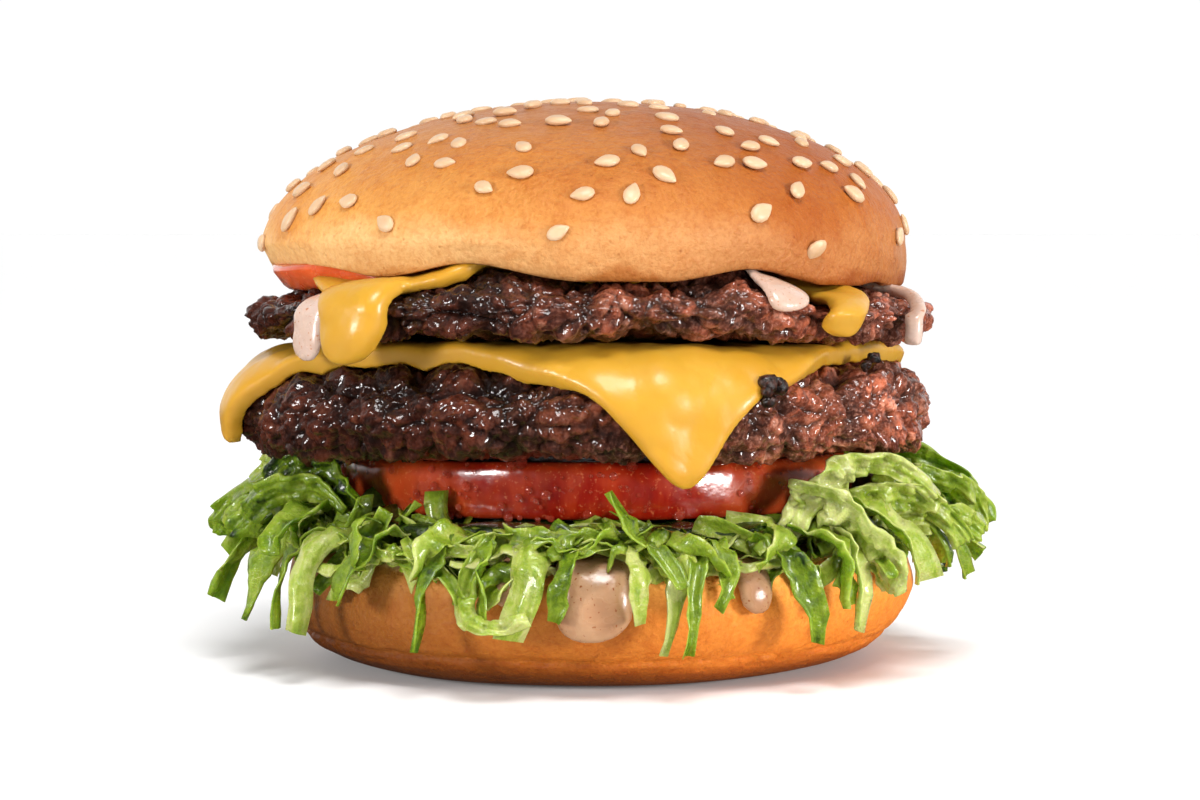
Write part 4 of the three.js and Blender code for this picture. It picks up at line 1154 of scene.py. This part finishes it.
# The rest of the heap, in layers from the inside out: how many shreds, and then, each from one number to
# another, their radius, height, length, width, slant from the level in degrees, and tone.
LAYER_KEYS = ("r", "z", "long", "wide", "steep", "tone")
INNER_HEAP = [
    (110, [(42.5, 46), (20.5, 24.0), (9, 16), (2.6, 4.4), (-30, 30), (0.2, 0.7)]),
    (130, [(45, 50), (17.5, 23.0), (8, 15), (2.0, 4.2), (-55, 55), (0.2, 0.75)]),
]
OUTER_HEAP = [
    (150, [(48.5, 53), (17, 23), (6, 14), (1.5, 3.4), (-60, 60), (0.15, 0.72)]),
]
HEAP_OUT, HEAP_UP = 3.5, 8.5  # how much further out and up it reaches at the left and right
DRIP_AT, DRIP_WIDE = -91.5, 12  # where the shreds leave the big drip of sauce clear, in degrees
DRIP_TOP = 23.2  # how high they stay there, and lie nearly level
STRAIGHT, HOOK = 0.72, 2.4  # the share of shreds without a hook, and how much more bent the others are
STEPS, ACROSS = 22, 7  # points along and across a shred that shows
INNER_STEPS, INNER_ACROSS = 14, 5


def tangle(heap, seed, steps=STEPS, points_across=ACROSS):
    """The shreds of the heap, each a curled strip that lies on it at its own slant."""
    draw = draws(seed)
    up = np.array([0, 0, 1.0])
    ribbons = []
    for count, ranges in heap:
        for i in range(count):
            theta = 2 * math.pi * (i + draw()) / count
            ends = math.cos(theta) ** 8
            pick = {key: lerp(*between, draw()) for key, between in zip(LAYER_KEYS, ranges)}
            out, side = directions(theta)
            middle = out * (pick["r"] + HEAP_OUT * ends * draw()) + up * (pick["z"] + HEAP_UP * ends * draw())
            if bump_at(theta, DRIP_AT, DRIP_WIDE) > 0.45:
                middle = middle + up * max(0, DRIP_TOP - middle[2])
                pick["steep"] *= 0.2
            face = normalised(out + lerp(0.1, 1.1, draw()) * up)
            fall = np.cross(side, face)
            steep = math.radians(pick["steep"])
            along = math.cos(steep) * side + math.sin(steep) * fall
            across = np.cross(face, along)
            u = np.linspace(-1, 1, steps)[:, None]
            hook = 1 + HOOK * (draw() > STRAIGHT)
            bow, bend = lerp(-1.0, 2.8, draw()) * hook, lerp(-2.4, 2.4, draw()) * hook
            at = middle + along * u * pick["long"] / 2 - face * bow * u * u + across * bend * u * np.abs(u)
            first = lerp(-60, 60, draw())
            last = first + lerp(-90, 90, draw())
            ribbons.append(ribbon(at, across, pick["wide"], first, last, draw, pick["tone"], points_across))
    return ribbons


def ribbon(at, side, width, first, last, draw, tone=None, across=ACROSS, crumple=1.0):
    """A thin crumpled strip along the points at, its flat side turned from side by first to last, in degrees.
    Returns its form and its looks: the tone of each vertex, and its place along and across the strip."""
    steps = len(at)
    along = normalised(np.gradient(at, axis=0))
    flat = normalised(side - (along @ side)[:, None] * along)
    t = np.linspace(0, 1, steps)[:, None]
    turn = np.radians(lerp(first, last, t))
    flat = flat * np.cos(turn) + np.cross(along, flat) * np.sin(turn)
    face = np.cross(along, flat)[:, None]
    u = np.linspace(-1, 1, across)[None, :, None]
    t = t[:, :, None]
    size = min(1, width / 4)
    curl, ruffle = size * lerp(-1.5, 1.7, draw()), size * lerp(0.3, 1.1, draw())
    waves, phase, slant = lerp(1.0, 2.2, draw()), 6.3 * draw(), lerp(-0.5, 0.5, draw())
    ragged = 1 + 0.10 * np.sin(9 * t + phase + u) + 0.07 * np.sin(23 * t + 3 * phase) * np.sign(u)
    half = 0.5 * width * ragged * lerp(0.62, 1, np.sin(math.pi * np.clip(0.15 + 0.75 * t, 0, 1)))
    torn = noise(np.concatenate(np.broadcast_arrays(9 * draw() + t * 3, u, 0 * t), -1), 0.5)
    half = half * (1 + 0.14 * torn[..., None])
    bulge = curl * (u * u - 0.35) + ruffle * u * np.sin(2 * np.pi * waves * t + phase)
    bulge = bulge + 0.3 * size * np.sin(2 * np.pi * waves * 0.8 * t + 2 * phase)
    cut = along[:, None] * u * half * slant * np.abs(2 * t - 1) ** 4
    surface = at[:, None] + flat[:, None] * u * half + cut
    key = 90 * draw()
    length = np.linalg.norm(np.diff(at, axis=0), axis=1).sum()
    own = np.concatenate(np.broadcast_arrays(t * length, u * half, key + 0 * t * u), -1)
    crumpled = 0.80 * noise(own, 2.4) + 0.60 * noise(own, 1.2)
    bulge = bulge + crumple * crumpled[..., None] + 0.10 * crumple * np.sin(2.2 * u * width + phase)
    surface = surface + face * bulge
    thick = lerp(0.22, 0.40, draw())
    points = np.concatenate([surface + face * thick / 2, surface - face * thick / 2])
    tone = draw() if tone is None else tone
    fade = lerp(-0.40, 0.40, draw())
    tones = tone + fade * (t - 0.5) + 0.06 * u - 0.16 * smoothstep(np.abs(u), 0.7, 1)
    tones = tones + 0.25 * crumpled[..., None]
    looks = np.broadcast_arrays(np.clip(tones, 0, 0.88), t * length, u * half + key)
    looks = [np.tile(part.ravel(), 2) for part in looks]
    return (settle(points).reshape(-1, 3), ribbon_faces(steps, across)), looks


def ribbon_faces(steps, across):
    """The faces of a strip made of two grids of points, one over the other."""
    i, j = (part.ravel() for part in np.meshgrid(np.arange(steps - 1), np.arange(across - 1), indexing="ij"))
    a = i * across + j
    top = np.stack([a, a + across, a + across + 1, a + 1], -1)
    under = steps * across
    rim = np.concatenate([
        np.arange(across - 1), np.arange(1, steps) * across - 1,
        np.arange(steps * across - 1, (steps - 1) * across, -1), np.arange((steps - 1) * across, 0, -across),
    ])
    follow = np.roll(rim, -1)
    sides = np.stack([rim, follow, follow + under, rim + under], -1)
    return [top[:, ::-1], top + under, sides[:, ::-1]]


# Broad torn leaves that arch over the heap: (azimuth, radius, height) of four knots, the width and the tone.
LEAVES = [
    ([(-54, 47, 23), (-47, 49, 34), (-36, 56, 38), (-28, 58, 28)], 4.2, 0.05),
    ([(-50, 47, 28), (-48, 53, 28), (-43, 56, 21), (-40, 56, 14)], 9, 0.10),
    ([(-44, 48, 24), (-38, 52, 31), (-28, 57, 30), (-22, 60, 20)], 5, 0.35),
    ([(-36, 50, 19), (-30, 54, 26), (-21, 58, 26), (-14, 61, 21)], 5, 0.30),
    ([(-24, 48, 28), (-18, 55, 32), (-10, 60, 29), (-4, 61, 22)], 5, 0.50),
    ([(-141, 46, 27), (-146, 49, 38), (-155, 53, 37), (-163, 53, 28)], 7, 0.88),
    ([(-144, 47, 26), (-150, 52, 33), (-158, 57, 31), (-164, 58, 21)], 6, 0.66),
    ([(-160, 46, 28), (-166, 54, 31), (-172, 60, 27), (-176, 61, 20)], 5, 0.50),
    ([(160, 44, 28), (158, 50, 35), (150, 55, 31), (146, 56, 22)], 9, 0.6),
    ([(176, 44, 28), (174, 52, 34), (168, 58, 30), (164, 59, 21)], 8, 0.4),
    ([(30, 44, 27), (27, 50, 35), (20, 55, 31), (16, 57, 22)], 9, 0.3),
    ([(12, 44, 28), (9, 52, 34), (2, 58, 30), (-2, 60, 21)], 8, 0.6),
    ([(-108, 50, 23), (-115, 56, 15), (-110, 57.5, 8), (-101, 56.5, 13)], 3, 0.3),
]


def broad_leaves():
    """The leaves of LEAVES, more finely crumpled than the shreds."""
    draw = draws(37)
    ribbons = []
    for path, width, tone in LEAVES:
        knots = np.array([polar(r, math.radians(azimuth), z) for azimuth, r, z in path])
        at = bezier(knots, np.linspace(0, 1, 2 * STEPS)[:, None])
        inside = normalised(knots[[0, 3]].mean(0) - knots[[1, 2]].mean(0) + [0, 0, 0.001])
        ribbons.append(ribbon(at, inside, width, -15, 15, draw, tone, across=17, crumple=2.0))
    return ribbons


def leaf_shader():
    m = Shader(
        "leaf", specular_ior_level=0.3, coat_weight=0.4, coat_roughness=0.12,
        subsurface_weight=0.35, subsurface_radius=(0.6, 1, 0.15), subsurface_scale=0.0015,
    )
    tone, along, across = (m.attribute(name) for name in ("tone", "along", "across"))
    streaks = m.add("TexNoise", {
        "Vector": m.add("CombineXYZ", {0: m.maths("MULTIPLY", along, 0.15), 1: across}).outputs[0],
        "Scale": 0.8, "Detail": 3,
    }).outputs["Fac"]
    tone = m.maths("ADD", tone, m.span(streaks, 0.3, 0.7, -0.20, 0.20))
    tone = m.maths("ADD", tone, m.span(m.noise(2.0, 5, 0.7), 0.3, 0.7, -0.20, 0.20))
    m.set("Base Color", m.ramp(
        tone,
        (0.0, (0.46, 0.50, 0.16)), (0.2, (0.32, 0.39, 0.058)), (0.45, (0.205, 0.285, 0.020)),
        (0.7, (0.12, 0.185, 0.009)), (0.9, (0.05, 0.09, 0.005)), (1.0, (0.010, 0.020, 0.003)),
    ))
    m.rough(2, 0.16, 0.40)
    m.bumps((m.noise(1.9, 4, 0.6), 0.60), (streaks, 0.16), (m.noise(0.4, 2), 0.06))
    return m.material


def hanging_shreds():
    draw = draws(93)
    return [hanging_ribbon(shred, draw) for shred in part_shreds()]


def lettuce_piece(name, forms, leaf):
    """A piece from (form, looks) pairs, as ribbon returns them."""
    tone, along, across = (np.concatenate(parts) for parts in zip(*(looks for _, looks in forms)))
    form = joined(form for form, _ in forms)
    piece(name, form, leaf, "lettuce", "lettuce", tone=tone, along=along, across=across)


leaf = leaf_shader()
core = lettuce_core()
# Painted shade: the pressed bed takes the darkest tone, nearly black, for the shade under the tomato and
# among the shreds.
dark = [np.full(len(core[0]), value) for value in (1.0, 0.0, 0.0)]
lettuce_piece("lettuce_bed", [(core, dark), *tangle(INNER_HEAP, 71, INNER_STEPS, INNER_ACROSS)], leaf)
lettuce_piece("lettuce_shreds", hanging_shreds() + tangle(OUTER_HEAP, 72) + broad_leaves(), leaf)

# ---------------------------------------------------------------- stage, light and camera

WHITE = (1, 1, 1)
FLOOR_HALF = 40.0


def floor_shader():
    m = Shader("floor", roughness=0.7, specular_ior_level=0.1)
    m.set("Base Color", m.ramp(m.noise(400, 1), (0.3, (0.90, 0.90, 0.90)), (0.7, (0.91, 0.91, 0.91))))
    m.set("Emission Color", WHITE)
    m.set("Emission Strength", 0.06)
    return m.material


corners = FLOOR_HALF * np.array([[-1, -1, 0], [1, -1, 0], [1, 1, 0], [-1, 1, 0]])
floor_mesh = mesh_of("floor", corners, [np.array([[0, 1, 2, 3]])])
floor_mesh.materials.append(floor_shader())
floor = bpy.data.objects.new("floor", floor_mesh)
bpy.context.scene.collection.objects.link(floor)
floor.visible_glossy = False  # dark wet food doesn't mirror the white floor

world = bpy.data.worlds.new("studio")
world.use_nodes = True
sky = Nodes(world.node_tree)
background = sky.tree.nodes["Background"]
direction = sky.add("SeparateXYZ", {0: sky.add("TexCoord").outputs["Generated"]})
brightness = sky.span(direction.outputs["Y"], 0, 0.85, 0.10, 1.02)  # it is brighter behind the burger
above = sky.span(direction.outputs["Z"], -0.08, 0, 0.06, 1)
sky.give(background.inputs["Strength"], sky.maths("MULTIPLY", brightness, above))
sky.give(background.inputs["Color"], WHITE)
bpy.context.scene.world = world


def lamp(name, kind, position, target, energy, **props):
    """A light at a position, in metres, that points at a target."""
    light = bpy.data.lights.new(name, kind)
    light.energy = energy
    for key, value in props.items():
        setattr(light, key, value)
    obj = bpy.data.objects.new(name, light)
    obj.location = position
    obj.rotation_euler = (Vector(target) - Vector(position)).to_track_quat("-Z", "Y").to_euler()
    bpy.context.scene.collection.objects.link(obj)


lamp("sun", "SUN", (0.12, -0.50, 0.90), (0, 0, 0), 2.6, angle=math.radians(24))
lamp("key", "AREA", (-0.66, -0.56, 0.22), (0, 0, 0.045), 4.8, size=0.18)
lamp("fill", "AREA", (0.68, -0.48, 0.16), (0, 0, 0.040), 5.6, size=0.16)

PHOTO_WIDTH, FOCAL = 1200, 2937  # in pixels of the photo
AXIS_LEFT = 10  # how far left of the photo's middle the burger's axis is
LEVEL_UP = 170  # how far over its middle what is level with the camera is
SENSOR = 36

camera = bpy.data.objects.new("camera", bpy.data.cameras.new("camera"))
camera.data.lens = SENSOR * FOCAL / PHOTO_WIDTH
camera.data.clip_start, camera.data.clip_end = 0.01, 200
camera.location = (0, -0.470, 0.068)
camera.rotation_euler = (QUARTER - math.atan(LEVEL_UP / FOCAL), 0, -math.atan(AXIS_LEFT / FOCAL))
bpy.context.scene.collection.objects.link(camera)
bpy.context.scene.camera = camera
bpy.context.scene.view_settings.view_transform = "Standard"
